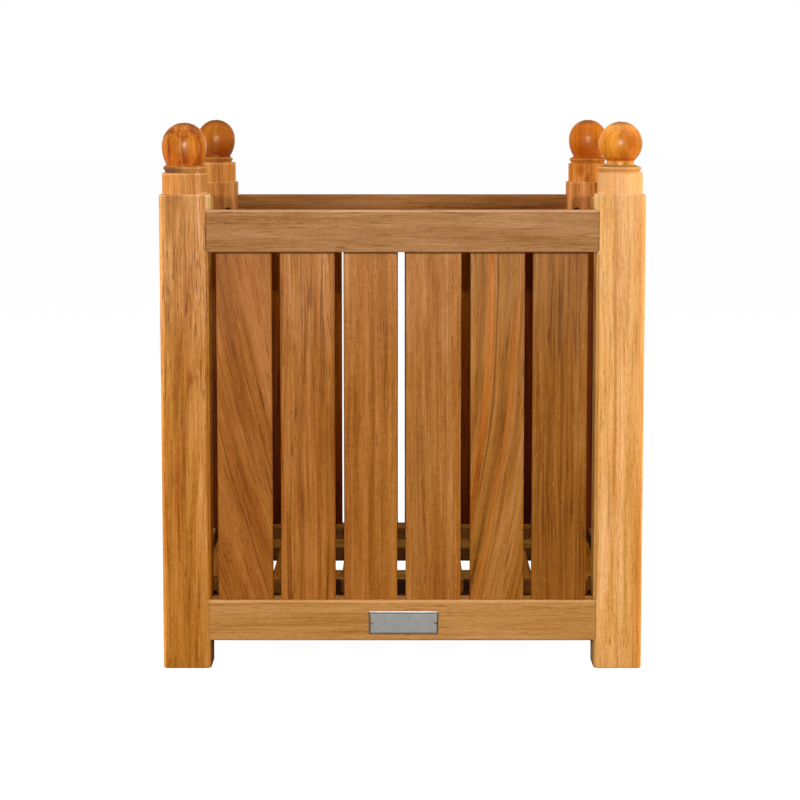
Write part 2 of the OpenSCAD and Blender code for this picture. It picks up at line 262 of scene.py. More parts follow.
    t = g.math("MULTIPLY_ADD", g.math("SUBTRACT", broad, 0.5), opt["streak"] * 1.7, 0.5)
    t = g.math("ADD", t, g.math("MULTIPLY", g.math("SUBTRACT", mid, 0.5), opt["mid"] * 1.5))
    t = g.math("ADD", t, g.math("MULTIPLY", g.math("SUBTRACT", fine, 0.5), opt["fine"] * 1.3))
    t = g.math("ADD", t, g.math("MULTIPLY", g.math("SUBTRACT", patch, 0.5), opt["patch"] * 1.2))
    t = g.math("ADD", t, g.math("MULTIPLY", g.math("SUBTRACT", ring_tone, 0.5), opt["tone"] * 0.25))
    t = g.math("ADD", t, g.math("MULTIPLY", g.math("SUBTRACT", silk, 0.5), opt["silk"]))
    fibre = g.noise(g.scaled(grain, 1 / 1.5, 1 / 1.5, 1 / 7.0, (s[6], s[10], s[2])), 2.0, 0.7)
    t = g.math("ADD", t, g.math("MULTIPLY", g.math("SUBTRACT", fibre, 0.5), opt["fibre"]))
    t = g.math("SUBTRACT", t, g.math("MULTIPLY", late, opt["line"] * 0.6))
    if knot_dark is not None:
        t = g.math("SUBTRACT", t, g.math("MULTIPLY", knot_dark, 0.3))

    # Lighter along the eased edges: partly wear, partly a painted highlight where the rounded arrises catch the light.
    au = g.math("SUBTRACT", half[0], g.math("ABSOLUTE", pu))
    av = g.math("SUBTRACT", half[1], g.math("ABSOLUTE", pv))
    edge_d = g.math("MAXIMUM", au, av)
    edge_d = g.math("ADD", edge_d, g.math("MULTIPLY", g.math("SUBTRACT", patch, 0.5), 4.0))
    edge = g.math("MULTIPLY", g.range(edge_d, opt["edge_mm"], 0.0), opt["edge"])
    t = g.math("ADD", t, g.math("MULTIPLY", edge, 0.34))

    low = tinted(base, *opt["dark"])
    mid_low = tinted(base, 0.73, 0.62, 0.37)
    high = tinted(base, *opt["light"])
    colour = g.ramp(t, [(0.0, low), (0.26, mid_low), (0.52, base), (1.0, high)])
    hue = g.noise(g.scaled(grain, 1 / 14, 1 / 14, 1 / 240, (s[2], s[11], s[6])), 1.0, 0.5)
    colour = g.mix(g.range(hue, 0.35, 0.7, 0.0, opt["red"]), colour, tinted(base, 1.05, 0.80, 0.55), "MIX")

    # Coloured stripes of the figure: place across, half width, strength, tint of base, and where along the piece.
    for at, width, amount, tint, w0, w1 in opt["stripes"]:
        off = g.math("ADD", g.math("SUBTRACT", gu, at), g.math("MULTIPLY", g.math("SUBTRACT", mid, 0.5), width * 0.8))
        band = g.math("EXPONENT", g.math("MULTIPLY", g.math("POWER", g.math("DIVIDE", off, width), 2.0), -1.0))
        along = g.math("MULTIPLY", g.range(pw, w0 - 40.0, w0 + 20.0), g.range(pw, w1 + 40.0, w1 - 20.0))
        colour = g.mix(g.math("MULTIPLY", g.math("MULTIPLY", band, along), amount), colour, g.mix(1.0, colour, tint, "MULTIPLY"))
    if knot_dark is not None:
        colour = g.mix(g.math("MULTIPLY", knot_dark, 0.75), colour, tinted(base, 0.66, 0.45, 0.25))

    colour = g.mix(g.math("MULTIPLY", mineral, opt["mineral"] * 0.75), colour, tinted(base, 0.34, 0.24, 0.16))
    pores = g.math("MAXIMUM", g.math("MULTIPLY", pore, opt["pore"]), g.math("MULTIPLY", pore2, opt["big_pore"]))
    if opt["dash"]:
        # Short dark vessels, thick on one stretch of the piece.
        spell = g.math("MULTIPLY", g.range(pw, opt["dash_w"][0] - 30.0, opt["dash_w"][0] + 30.0), g.range(pw, opt["dash_w"][1] + 30.0, opt["dash_w"][1] - 30.0))
        pores = g.math("MAXIMUM", pores, g.math("MULTIPLY", g.math("MULTIPLY", g.range(dash, 0.60, 0.68), spell), opt["dash"]))
    colour = g.mix(g.math("MULTIPLY", pores, 0.82), colour, tinted(base, 0.28, 0.16, 0.08))
    colour = g.mix(g.math("MULTIPLY", fleck, opt["fleck"]), colour, tinted(base, 1.7, 2.3, 4.0))

    # Painted light and shade: a paler wash towards the top of the planter, painted shade deeper towards its foot, and
    # painted shade, partly grime, where the pieces meet the rails.
    height_z = g.math("ADD", xyz[2], centre[2])
    # Painted shade: darker towards the foot; faces turned to fall_off are spared.
    if opt["fall"]:
        k = g.range(height_z, 0.0, 440.0, 1.0 - opt["fall"], 1.0, smooth=False)
        if opt["fall_off"]:
            open_air = g.range(g.vmath("DOT_PRODUCT", g.node("ShaderNodeNewGeometry").outputs["Normal"], (*opt["fall_off"], 0.0)), 0.3, 0.8)
            k = g.math("MULTIPLY_ADD", g.math("SUBTRACT", 1.0, k), open_air, k)
        colour = g.mix(1.0, colour, g.join(k, g.math("POWER", k, 1.6), g.math("POWER", k, 4.5)), "MULTIPLY")
    if opt["neck"]:
        calm = g.mix(opt["neck"][3], g.mix(1.0, colour, opt["neck"][:3], "MULTIPLY"), tinted(base, *opt["neck"][:3]))
        colour = g.mix(g.range(height_z, SHOULDER - 0.5, SHOULDER + 0.5), colour, calm)
    # One side of the piece in another tint, between two heights: painted light on faces that catch light, painted shade
    # on faces inside the box and under the floor.
    side = g.node("ShaderNodeNewGeometry").outputs["Normal"]
    for (nx, ny), z0, z1, tint, *blur in opt["faces"]:
        soft = blur[0] if blur else 1.0
        towards = g.node("ShaderNodeVectorMath", operation="DOT_PRODUCT")
        g.put(towards.inputs[0], side)
        g.put(towards.inputs[1], (float(nx), float(ny), 0.0))
        inside = g.math("MULTIPLY", g.range(towards.outputs["Value"], 0.6, 0.95), g.math("MULTIPLY", g.range(height_z, z0 - soft, z0 + soft), g.range(height_z, z1 + soft, z1 - soft)))
        colour = g.mix(inside, colour, g.mix(1.0, colour, tint, "MULTIPLY"))
    # A hem of painted shade along one arris, from where it starts to where it is full.
    for axis, start, full, tint, z0, z1, *face in opt["painted_shade_hems"]:
        inside = g.math("MULTIPLY", g.range({"u": pu, "v": pv}[axis], start, full), g.math("MULTIPLY", g.range(height_z, z0 - 1.0, z0 + 1.0), g.range(height_z, z1 + 1.0, z1 - 1.0)))
        if face:
            inside = g.math("MULTIPLY", inside, g.range(g.vmath("DOT_PRODUCT", side, (*face[0], 0.0)), 0.3, 0.7))
        colour = g.mix(inside, colour, g.mix(1.0, colour, tint, "MULTIPLY"))
    # Level bands of another tint: painted highlights on lit rims and edges, painted shade in undercuts and under the
    # balls, and a pale stem ring.
    for z0, z1, tint, *side in opt["bands"]:
        inside = g.math("MULTIPLY", g.range(height_z, z0 - 0.35, z0 + 0.15), g.range(height_z, z1 + 0.35, z1 - 0.15))
        if side:
            inside = g.math("MULTIPLY", inside, g.range(pu, *side[0]))
        colour = g.mix(inside, colour, g.mix(1.0, colour, tint, "MULTIPLY"))
    # Painted shade: darker from z1 downwards, fully at z0.
    if opt["low"]:
        z0, z1, tint = opt["low"]
        colour = g.mix(g.range(height_z, z1, z0), colour, g.mix(1.0, colour, tint, "MULTIPLY"))
    # Painted light: a pale wash added towards the top of the piece, between the heights in pale_z.
    if opt["pale"]:
        wash = g.math("MULTIPLY", g.range(height_z, *opt["pale_z"]), opt["pale"])
        colour = g.mix(1.0, colour, g.join(wash, wash, wash), "ADD")
    # Painted shade, partly grime, near the ends where the piece meets the rails and posts.
    if opt["ends"]:
        lo, hi, reach, at_lo, at_hi = opt["ends"]
        for d, amount in ((g.math("SUBTRACT", pw, lo), at_lo), (g.math("SUBTRACT", hi, pw), at_hi)):
            shade = g.math("MULTIPLY", g.range(d, reach, reach * 0.35), amount)
            colour = g.mix(shade, colour, tinted(base, 0.16, 0.10, 0.06))

    # End grain is darker.
    normal = g.split(g.node("ShaderNodeNewGeometry").outputs["Normal"])[AXES[w]]
    on_end = g.range(g.math("ABSOLUTE", normal), 0.75, 0.97)
    end = g.mix(1.0, colour, tuple([opt["end_dark"], opt["end_dark"] * 0.93, opt["end_dark"] * 0.85]), "MULTIPLY")
    colour = g.mix(on_end, colour, end)

    rough = g.math("ADD", opt["rough"], g.math("ADD", g.math("MULTIPLY", pores, 0.2), g.math("MULTIPLY", g.math("SUBTRACT", broad, 0.5), 0.22)))
    height = g.math("MULTIPLY", fine, 0.10)
    height = g.math("SUBTRACT", height, g.math("MULTIPLY", pores, 0.22))
    height = g.math("SUBTRACT", height, g.math("MULTIPLY", late, 0.05))
    height = g.math("ADD", height, g.math("MULTIPLY", broad, 0.25))
    height = g.math("ADD", height, g.math("MULTIPLY", mid, 0.12))
    bump = g.node("ShaderNodeBump")
    bump.inputs["Strength"].default_value = 0.5 * opt["bump"]
    bump.inputs["Distance"].default_value = 0.001
    g.put(bump.inputs["Height"], height)

    shader = g.node("ShaderNodeBsdfPrincipled")
    g.put(shader.inputs["Base Color"], colour)
    g.put(shader.inputs["Roughness"], rough)
    g.put(shader.inputs["Normal"], bump.outputs[0])
    shader.inputs["IOR"].default_value = opt["ior"]
    shader.inputs["Specular IOR Level"].default_value = opt["spec"]
    if opt["spec_tint"]:
        shader.inputs["Specular Tint"].default_value = (*opt["spec_tint"], 1.0)
    if opt["sheen"]:
        shader.inputs["Sheen Weight"].default_value = opt["sheen"]
        shader.inputs["Sheen Roughness"].default_value = 0.25
        shader.inputs["Sheen Tint"].default_value = (1.0, 0.90, 0.72, 1.0)
    if opt["coat"]:
        shader.inputs["Coat Weight"].default_value = opt["coat"]
        shader.inputs["Coat Roughness"].default_value = opt["coat_rough"]
        shader.inputs["Coat IOR"].default_value = 2.0
    g.tree.links.new(shader.outputs[0], g.out.inputs[0])
    return g.mat


# ---------------------------------------------------------------- mesh helpers
def outline(w, t, r, step=7.0, arc=6):
    """Rounded rectangle, anticlockwise, with extra points on its flats."""
    r = max(r, 0.05)
    points = []
    corners = [(w / 2 - r, t / 2 - r, 0), (-w / 2 + r, t / 2 - r, 90), (-w / 2 + r, -t / 2 + r, 180), (w / 2 - r, -t / 2 + r, 270)]
    for i, (cx, cy, a0) in enumerate(corners):
        for k in range(arc + 1):
            a = math.radians(a0 + 90 * k / arc)
            points.append((cx + r * math.cos(a), cy + r * math.sin(a)))
        nx, ny, na = corners[(i + 1) % 4]
        start = points[-1]
        end = (nx + r * math.cos(math.radians(na)), ny + r * math.sin(math.radians(na)))
        length = math.dist(start, end)
        cuts = [0.8 / length, 2.5 / length] if length > 12 else []
        n = max(1, int(round(length / step)))
        inner = [k / n for k in range(1, n)]
        cuts = sorted(set(cuts + [c for c in inner if 3.5 < c * length < length - 3.5] + [1 - c for c in cuts]))
        for c in cuts:
            points.append((start[0] + (end[0] - start[0]) * c, start[1] + (end[1] - start[1]) * c))
    return points


def loft(bm, loops, close_ends=True):
    """Joins equal loops of points (m) into a closed skin."""
    rings = [[bm.verts.new(p) for p in loop] for loop in loops]
    n = len(rings[0])
    for a, b in zip(rings, rings[1:]):
        for i in range(n):
            j = (i + 1) % n
            bm.faces.new((a[i], a[j], b[j], b[i]))
    if close_ends:
        bm.faces.new(list(reversed(rings[0])))
        bm.faces.new(rings[-1])


def wear(section, nx, ny, along, amount, edge_amount, seed, w, t):
    """How far (mm) a point of a board's skin lies under its nominal face: slow waves, more on its edges."""
    u, v = section
    slow = noise.noise(Vector((u / 22 + seed * 3.1, v / 22 - seed, along / 70 + seed * 1.7)))
    edge_d = max(w / 2 - abs(u), t / 2 - abs(v))
    fade = max(0.0, 1 - edge_d / 3.0)
    small = noise.noise(Vector((seed * 5.3 + (1 if u > 0 else -1) * 7, (1 if v > 0 else -1) * 5, along / 14)))
    tiny = noise.noise(Vector((seed * 2.3 + (1 if u > 0 else -1) * 4, (1 if v > 0 else -1) * 9, along / 4)))
    return amount * (0.5 + 0.5 * slow) + fade * edge_amount * max(0.0, 0.45 + 0.6 * small + 0.25 * tiny)


def board_mesh(w, t, r, length, seed, ends=0.0, worn=0.12, edge_worn=0.3, step=7.0, run=9.0):
    """A board along local Z, centred, u across on X and v through on Y (mm)."""
    half_l = length / 2
    n = max(2, int(round(length / run)))
    stations = [-half_l + length * k / n for k in range(n + 1)]
    insets = [0.0] * len(stations)
    if ends > 0:
        prof = [(0.0, 1.0), (0.12, 0.62), (0.36, 0.28), (0.66, 0.08), (1.0, 0.0)]
        low = [(-half_l + ends * a, ends * b) for a, b in prof]
        high = [(half_l - ends * a, ends * b) for a, b in reversed(prof)]
        mid = [(s, 0.0) for s in stations if -half_l + ends * 2 < s < half_l - ends * 2]
        stations, insets = zip(*(low + mid + high))
    loops = []
    base = outline(w, t, r, step)
    for z, inset in zip(stations, insets):
        loop = outline(w - 2 * inset, t - 2 * inset, max(r - inset, 0.3), step) if inset else base
        if len(loop) != len(base):
            loop = [(x * (w - 2 * inset) / w, y * (t - 2 * inset) / t) for x, y in base]
        pts = []
        for (x, y), (bx, by) in zip(loop, base):
            d = wear((bx, by), 0, 0, z, worn, edge_worn, seed, w, t)
            # Towards the inside along the nearest face or corner.
            ix = max(0.0, abs(bx) - (w / 2 - r)) / r
            iy = max(0.0, abs(by) - (t / 2 - r)) / r
            norm = math.hypot(ix, iy) or 1.0
            pts.append((x - math.copysign(d * ix / norm, x), y - math.copysign(d * iy / norm, y), z))
        loops.append(pts)
    return loops


def to_object(name, bm, material, angle=38.0):
    bmesh.ops.recalc_face_normals(bm, faces=bm.faces)
    mesh = bpy.data.meshes.new(name)
    bm.to_mesh(mesh)
    bm.free()
    for poly in mesh.polygons:
        poly.use_smooth = True
    mesh.set_sharp_from_angle(angle=math.radians(angle))
    obj = bpy.data.objects.new(name, mesh)
    bpy.context.scene.collection.objects.link(obj)
    if material:
        mesh.materials.append(material)
    return obj


def wall_matrix(wall):
    return Matrix.Rotation(math.radians(90 * wall), 4, "Z")


def placed(loops, matrix):
    """Points in mm, moved by matrix (mm), then in metres."""
    return [[(matrix @ Vector(p)) * MM for p in loop] for loop in loops]


def cutter_box(bm, centre, size, r=0.0, axis=2, turn=Matrix.Identity(4)):
    """Closed box of size (mm) round centre, its loops along axis, added to a cutter."""
    sx, sy, sz = size
    dims = {2: (sx, sy, sz), 0: (sy, sz, sx), 1: (sz, sx, sy)}[axis]
    pts = outline(dims[0], dims[1], r, step=1000) if r else [(dims[0] / 2, dims[1] / 2), (-dims[0] / 2, dims[1] / 2), (-dims[0] / 2, -dims[1] / 2), (dims[0] / 2, -dims[1] / 2)]
    loops = []
    for z in (-dims[2] / 2, dims[2] / 2):
        loop = []
        for a, b in pts:
            p = {2: (a, b, z), 0: (z, a, b), 1: (b, z, a)}[axis]
            loop.append((turn @ (Vector(centre) + Vector(p))) * MM)
        loops.append(loop)
    loft(bm, loops)


def cutter_rod(bm, start, end, d, turn=Matrix.Identity(4), n=40):
    """Closed cylinder from start to end (mm), added to a cutter."""
    start, end = Vector(start), Vector(end)
    axis = (end - start).normalized()
    side = axis.orthogonal().normalized()
    up = axis.cross(side)
    loops = []
    for p in (start, end):
        loops.append([(turn @ (p + side * (d / 2 * math.cos(2 * math.pi * k / n)) + up * (d / 2 * math.sin(2 * math.pi * k / n)))) * MM for k in range(n)])
    loft(bm, loops)


def cut(obj, bm):
    """Takes the closed shells in bm out of obj, for good."""
    bmesh.ops.recalc_face_normals(bm, faces=bm.faces)
    mesh = bpy.data.meshes.new("cutter")
    bm.to_mesh(mesh)
    bm.free()
    tool = bpy.data.objects.new("cutter", mesh)
    bpy.context.scene.collection.objects.link(tool)
    mod = obj.modifiers.new("cut", "BOOLEAN")
    mod.operation = "DIFFERENCE"
    mod.solver = "MANIFOLD"

    mod.object = tool
    bake_modifiers(obj)
    bpy.data.objects.remove(tool)
    bpy.data.meshes.remove(mesh)


def bake_modifiers(obj):
    graph = bpy.context.evaluated_depsgraph_get()
    fresh = bpy.data.meshes.new_from_object(obj.evaluated_get(graph))
    old = obj.data
    obj.modifiers.clear()
    obj.data = fresh
    fresh.name = old.name + "_m"
    bpy.data.meshes.remove(old)


def finish_piece(obj, nodes, body):
    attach(obj, body)
    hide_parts(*nodes)
    return obj


# ---------------------------------------------------------------- looks of each piece
def S(r, g, b):
    """sRGB 0-255 to linear."""
    return tuple(c / 12.92 if c <= 0.04045 else ((c + 0.055) / 1.055) ** 2.4 for c in (r / 255, g / 255, b / 255))


BROWN, RUST, PALE, ORANGE, DUSK = (0.72, 0.58, 0.40), (0.88, 0.66, 0.40), (1.18, 1.26, 1.9), (1.28, 0.98, 0.62), (0.66, 0.60, 0.52)
ALL = (-400.0, 400.0)

LOOK = {
    # Painted light on the inner face, lighter between the rails and cream above them, and light lines on the shoulder,
    # neck and collar rims; painted shade low on the inner face, beside the inner arris, in the collar undercut, on the
    # collar top under the ball and on the collar's left side.
    "post_front_left": dict(base=S(198, 133, 60), pith=(-30, 160), tilt=(0.0, 0.02), ring=4.4, line=0.3, streak=0.5, patch=0.45, edge=0.9, edge_mm=5,
                            fall=0.16, pale=0.022, neck=(1.02, 0.96, 0.8, 0.1), dash=1.0, dash_w=(20, 230), fibre=0.45, painted_shade_hems=(("u", 21.8, 24.2, (0.66, 0.46, 0.26), 74, 440, (0.0, -1.0)),), faces=(((1, 0), 76, 440, (1.35, 1.5, 0.9)), ((1, 0), -200, 230, (0.80, 0.64, 0.40), 120), ((1, 0), 470, 504, (1.38, 2.05, 3.4))), knots=((6.0, 58.0, 3.6, 2.4),),
                            bands=((500.8, 502.4, (1.25, 1.5, 2.6)), (522.4, 524.0, (1.2, 1.42, 2.4)), (525.2, 528.6, (0.90, 0.90, 0.62)), (528.9, 530.3, (1.15, 1.4, 2.2)), (530.7, 532.6, (0.86, 0.72, 0.34)),
                                   (524.2, 530.4, (0.34, 0.28, 0.25), (7.0, -12.0))),
                            stripes=((8, 10.0, 0.5, PALE, 0, 260), (-9, 2.2, 0.7, BROWN, -60, 260), (1.5, 1.6, 0.5, BROWN, 0, 260), (-19, 3.0, 0.5, RUST, -260, 20),
                                     (-8, 3.5, 0.5, RUST, -260, -40), (18, 4.5, 0.8, PALE, -260, 260))),
    # Painted light on the inner face between the rails and above them, and light lines on the shoulder, the collar lip
    # and the collar top under the ball; painted shade beside the inner arris and in the collar undercut.
    "post_front_right": dict(base=S(238, 176, 103), pith=(60, 160), tilt=(0.0, 0.01), ring=6.0, line=0.2, streak=0.4, mid=0.3, patch=0.35, edge=0.1, fall=0.05, pale=0.022,
                             neck=(0.98, 0.94, 0.98, 0.6), mineral=0.6, painted_shade_hems=(("u", -21.0, -24.4, (0.62, 0.48, 0.33), 74, 440, (0.0, -1.0)),), faces=(((-1, 0), 76, 440, (1.3, 1.5, 1.4)), ((-1, 0), 470, 504, (1.07, 1.29, 1.55))),
                             bands=((500.8, 502.4, (1.08, 1.18, 1.5)), (525.2, 529.0, (0.74, 0.64, 0.34)), (529.3, 530.4, (1.12, 1.25, 1.3)), (530.6, 532.6, (1.15, 1.35, 1.4))),
                             stripes=((0, 6.0, 0.6, PALE, -300, 300), (-6.3, 1.8, 0.8, BROWN, -60, 300), (-1.2, 0.5, 0.8, BROWN, -40, 300), (-22, 1.4, 0.4, BROWN, -300, -60),
                                      (-14, 4.0, 0.5, PALE, -300, 20), (15, 3.5, 0.5, RUST, -300, 300), (22, 3.5, 0.7, RUST, -300, 300))),
    # Back posts: painted shade on their front faces inside the box, deeper low down; painted highlights on the shoulder
    # and neck rims and painted shade in the collar undercuts.
    "post_back_left": dict(base=S(166, 108, 50), line=0.3, faces=(((0, -1), 60, 438, (0.66, 0.44, 0.20)), ((0, -1), -200, 290, (0.50, 0.33, 0.22), 120)), neck=(1.20, 1.18, 1.3, 0.2), bands=((501.2, 502.4, (1.25, 1.45, 1.8)), (523.4, 525.8, (1.15, 1.3, 1.8)), (526.6, 528.4, (0.75, 0.68, 0.5)), (528.6, 530.4, (0.75, 0.62, 0.42)), (530.6, 532.6, (1.05, 1.1, 0.9)))),
    "post_back_right": dict(base=S(179, 113, 52), knots=((-10.0, 266.5, 4.6, 0.0), (-2.0, 255.5, 3.2, 0.0)), line=0.3, faces=(((0, -1), 60, 438, (0.64, 0.43, 0.20)), ((0, -1), -200, 290, (0.50, 0.33, 0.22), 120)), neck=(1.11, 1.03, 0.80, 0.05), bands=((501.2, 502.4, (1.2, 1.4, 1.8)), (525.6, 529.0, (0.8, 0.7, 0.5)), (530.6, 532.6, (1.0, 0.85, 0.6)))),
    # Finials: painted light paler towards the crown and painted shade on the lower half; the front right one also has a
    # pale stem ring and painted shade just under the ball.
    "finial_front_left": dict(base=S(202, 118, 20), streak=1.5, mid=1.0, pale=0.018, low=(536.0, 552.0, (1.0, 0.80, 0.45)), stripes=((-15, 9.0, 1.0, (0.80, 0.75, 0.66), -40, 40), (-14, 2.2, 0.8, BROWN, -40, 40), (-4, 1.2, 0.8, BROWN, -40, 40), (3, 1.8, 0.7, BROWN, -40, 6), (9, 1.0, 0.5, BROWN, -10, 40), (13, 4.0, 0.6, (0.86, 0.80, 0.66), -40, 40))),
    "finial_front_right": dict(base=S(232, 145, 34), pale=0.045, low=(536.0, 554.0, (0.91, 0.74, 0.32)), bands=((530.0, 536.6, (0.98, 1.45, 7.0)), (537.0, 539.8, (0.78, 0.60, 0.45))), mineral=0.2, streak=0.5, mid=0.35, patch=0.6, line=0.5, big_pore=0.4, knots=((10.0, 2.0, 5.0, 5.0),), stripes=((-12, 5.0, 0.5, PALE, -10, 40), (3, 1.6, 0.6, BROWN, -40, 0), (12, 1.6, 0.3, RUST, -40, 40), (21, 7.0, 1.0, (0.68, 0.56, 0.40), -40, 40))),
    "finial_back_left": dict(base=S(160, 88, 4), pale=0.006, mineral=0.2, streak=0.5, mid=0.3, patch=1.0, low=(534.0, 560.0, (0.60, 0.33, 0.10))),
    "finial_back_right": dict(base=S(187, 102, 6), pale=0.008, mineral=0.2, streak=0.4, mid=0.25, patch=0.8, low=(535.0, 560.0, (0.84, 0.62, 0.28))),
    "rail_top_back": dict(base=S(145, 93, 43)),
    # The side top rails get paler bases as painted light on their inner faces.
    "rail_top_left": dict(base=S(196, 150, 84)),
    "rail_top_right": dict(base=S(180, 126, 66)),
    "slat_front_1": dict(base=S(168, 103, 42), tilt=(0.26, 0.03), bend=-0.0002, pith=(-300, 50), ring=7.0, line=0.2, patch=0.7, wave=6, streak=0.35, mid=0.4, mineral=1.0, red=0.1, big_pore=0.9,
                         stripes=((46, 12.0, 0.7, PALE, -190, 190), (-26.7, 0.45, 1.0, (0.30, 0.18, 0.12), -190, 0), (17, 0.5, 0.8, (0.40, 0.28, 0.2), -120, 60), (2, 0.5, 0.7, (0.45, 0.32, 0.24), -40, 190),
                                  (10, 5.0, 0.5, DUSK, -60, 190), (-14, 4.0, 0.35, BROWN, -190, 60), (27, 0.5, 0.7, (0.4, 0.28, 0.2), -60, 120))),
    "slat_front_2": dict(base=S(180, 116, 53), tilt=(0.0, 0.01), pith=(-120, 60), ring=5.0, line=0.3, mineral=0.9, dash=0.7, dash_w=(20, 190),
                         stripes=((0, 4.0, 0.3, PALE, -40, 190), (-8, 3.0, 0.4, DUSK, -190, 190), (-22, 4.0, 0.4, PALE, -190, 190), (12, 2.0, 0.4, RUST, -190, 190))),
    "slat_front_3": dict(base=S(175, 111, 46), tilt=(0.0, 0.0), pith=(190, 60), ring=5.0, line=0.2, silk=0.35, mid=0.35, streak=0.5, mineral=0.25, fleck=0.7,
                         stripes=((-22, 5.0, 0.85, PALE, -190, 190), (-8, 3.5, 0.6, RUST, -190, 190), (9, 7.0, 0.5, PALE, -40, 190), (1, 2.0, 0.4, DUSK, -190, 190))),
    "slat_front_4": dict(base=S(179, 118, 58), tilt=(0.01, 0.0), pith=(140, 120), ring=6.0, line=0.15, streak=0.5, mid=0.5, fibre=0.5, mineral=0.4, big_pore=0.8, silk=0.3, fall=0.20,
                         stripes=((24, 2.0, 0.4, ORANGE, -190, 190), (-14, 5.0, 0.35, DUSK, -190, 0), (16, 4.0, 0.3, PALE, -190, 190))),
    "slat_front_5": dict(base=S(172, 113, 49), tilt=(-0.111, 0.01), bend=0.00037, pith=(-300, 60), ring=6.0, line=0.25, streak=0.6, mineral=0.8,
                         stripes=((-15.3, 3.6, 0.85, (1.22, 0.86, 0.5), -120, 190), (9.5, 2.6, 0.6, (1.22, 0.9, 0.55), -190, 120), (-8.4, 0.8, 0.9, (0.45, 0.34, 0.25), -60, 190), (-24, 2.0, 0.7, DUSK, -190, 190),
                                  (1.0, 3.0, 0.6, DUSK, -190, 190), (18.0, 1.2, 0.6, BROWN, -190, 60), (16, 5.0, 0.6, PALE, -40, 190), (27, 6.0, 0.7, PALE, -190, 0))),
    "slat_front_6": dict(base=S(156, 98, 36), tilt=(0.0, 0.01), pith=(-160, 60), ring=4.0, line=0.5, streak=0.6, fleck=0.9, mineral=0.9, fall=0.18,
                         stripes=((-19, 4.0, 0.6, PALE, -190, 20), (2, 1.6, 0.8, BROWN, -190, 190), (12, 2.0, 0.3, RUST, -190, 190), (19, 5.0, 0.5, PALE, -20, 190), (8, 1.0, 0.6, DUSK, -190, 190))),
    # Front rails: a light line along the top edge as a painted highlight, and painted shade, partly grime, at the ends
    # by the posts.
    "rail_top_front": dict(base=S(173, 123, 76), ring=4.8, pith=(10, 160), tilt=(0.0, 0.01), line=0.2, streak=0.35, mid=0.35, fine=0.5, silk=0.15, fibre=0.35, mineral=0.5, big_pore=0.8, pore=0.6, dash=0.3,
                           dash_w=(-250, 250), dark=(0.42, 0.28, 0.16), light=(1.38, 1.55, 2.0), red=0.1, edge=0.9, edge_mm=3.5, ends=(-205.2, 205.2, 0.9, 0.8, 0.8),
                           bands=((484.4, 486.4, (1.28, 1.45, 1.9)),)),
    "rail_bottom_front": dict(base=S(194, 139, 76), ring=4.0, pith=(-80, 90), tilt=(0.0, 0.01), line=0.15, streak=0.3, mid=0.3, fine=0.35, mineral=0.25, pore=0.4, edge=0.5,
                              ends=(-205.2, 205.2, 0.9, 0.45, 0.35), bands=((71.2, 73.3, (1.2, 1.3, 1.5)),)),
    # Under the floor: painted shadow on the rear of the front cleat's top, painted shade in the darker base of the back
    # cleat, and painted shade on the front-facing faces of the back cleat, back bottom rail and battens.
    "cleat_front": dict(base=S(180, 118, 46), painted_shade_hems=(("v", -7.5, -3.5, (0.10, 0.08, 0.05), 0, 100),)),
    "cleat_back": dict(base=S(142, 84, 22), faces=(((0, -1), 0, 100, (0.8, 0.75, 0.6)),)),
    "rail_bottom_back": dict(base=S(158, 104, 46), faces=(((0, -1), 0, 100, (0.7, 0.6, 0.4)),)),
    "floor_batten_front": dict(base=S(150, 100, 34), faces=(((0, -1), -20, 100, (0.14, 0.08, 0.05)),)),
    "floor_batten_back": dict(base=S(150, 100, 34), faces=(((0, -1), -20, 100, (0.5, 0.36, 0.2)),)),
}


def look(name, default, **more):
    o = dict(base=default)
    o.update(more)
    o.update(LOOK.get(name, {}))
    return o


SEEDS = {name: i + 1 for i, name in enumerate(sorted(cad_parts))}


# ---------------------------------------------------------------- wall slats
def make_slat(wall, n):
    name = f"slat_{WALLS[wall]}_{n + 1}"
    seed = SEEDS[name]
    w, length = SLAT_W[n], TOP_RAIL_Z - LOW_TOP + 2 * SLAT_IN
    x = (n - 2.5) * PITCH + SHIFT[wall][n]
    zc = (TOP_RAIL_Z + LOW_TOP) / 2
    turn = wall_matrix(wall)
    centre = turn @ Vector((x, -SLAT_C, zc))
    loops = placed(board_mesh(w, SLAT_T, SLAT_R, length, seed), turn @ Matrix.Translation((x, -SLAT_C, zc)))
    bm = bmesh.new()
    loft(bm, loops)
    rng = random.Random(seed)
    shade = rng.uniform(-12, 12)
    joint = (TOP_RAIL_Z - LOW_TOP) / 2
    # The back wall's slats get a darker, deeper base and strong painted shade towards the foot, as painted shade inside
    # the box; their outer faces, turned to +Y, are spared and tinted back towards plain teak, and the first slat gets a
    # painted darker inner face. Every slat gets painted shade under the top rail; the other walls get painted light at
    # the top and painted shade at the foot.
    more = dict(fall=0.15, pale=0.012) if wall != 2 else dict(fall=0.93, fall_off=(0.0, 1.0), faces=(((0, 1), -50, 600, (1.0, 1.12, 3.2)),), spec=0.1, rough=0.7)
    o = look(name, S(158 + shade, 96 + shade * 0.9, 38 + shade * 0.8) if wall != 2 else S(166 + shade, 95 + shade * 0.9, 18), ends=(-joint, joint, 2.6, 0.08, 0.85), **more)
    if name == "slat_back_1":
        o["faces"] += (((0, -1), -50, 600, (0.58, 0.40, 0.5)),)
    base = o.pop("base")
    u, v = ("X", "Y") if wall % 2 == 0 else ("Y", "X")
    mat = teak("teak_" + name, u, v, "Z", centre, (w / 2, SLAT_T / 2), base, seed, **o)
    finish_piece(to_object("board_" + name, bm, mat), [name], "frame")


for wall in range(4):
    for n in range(6):
        make_slat(wall, n)


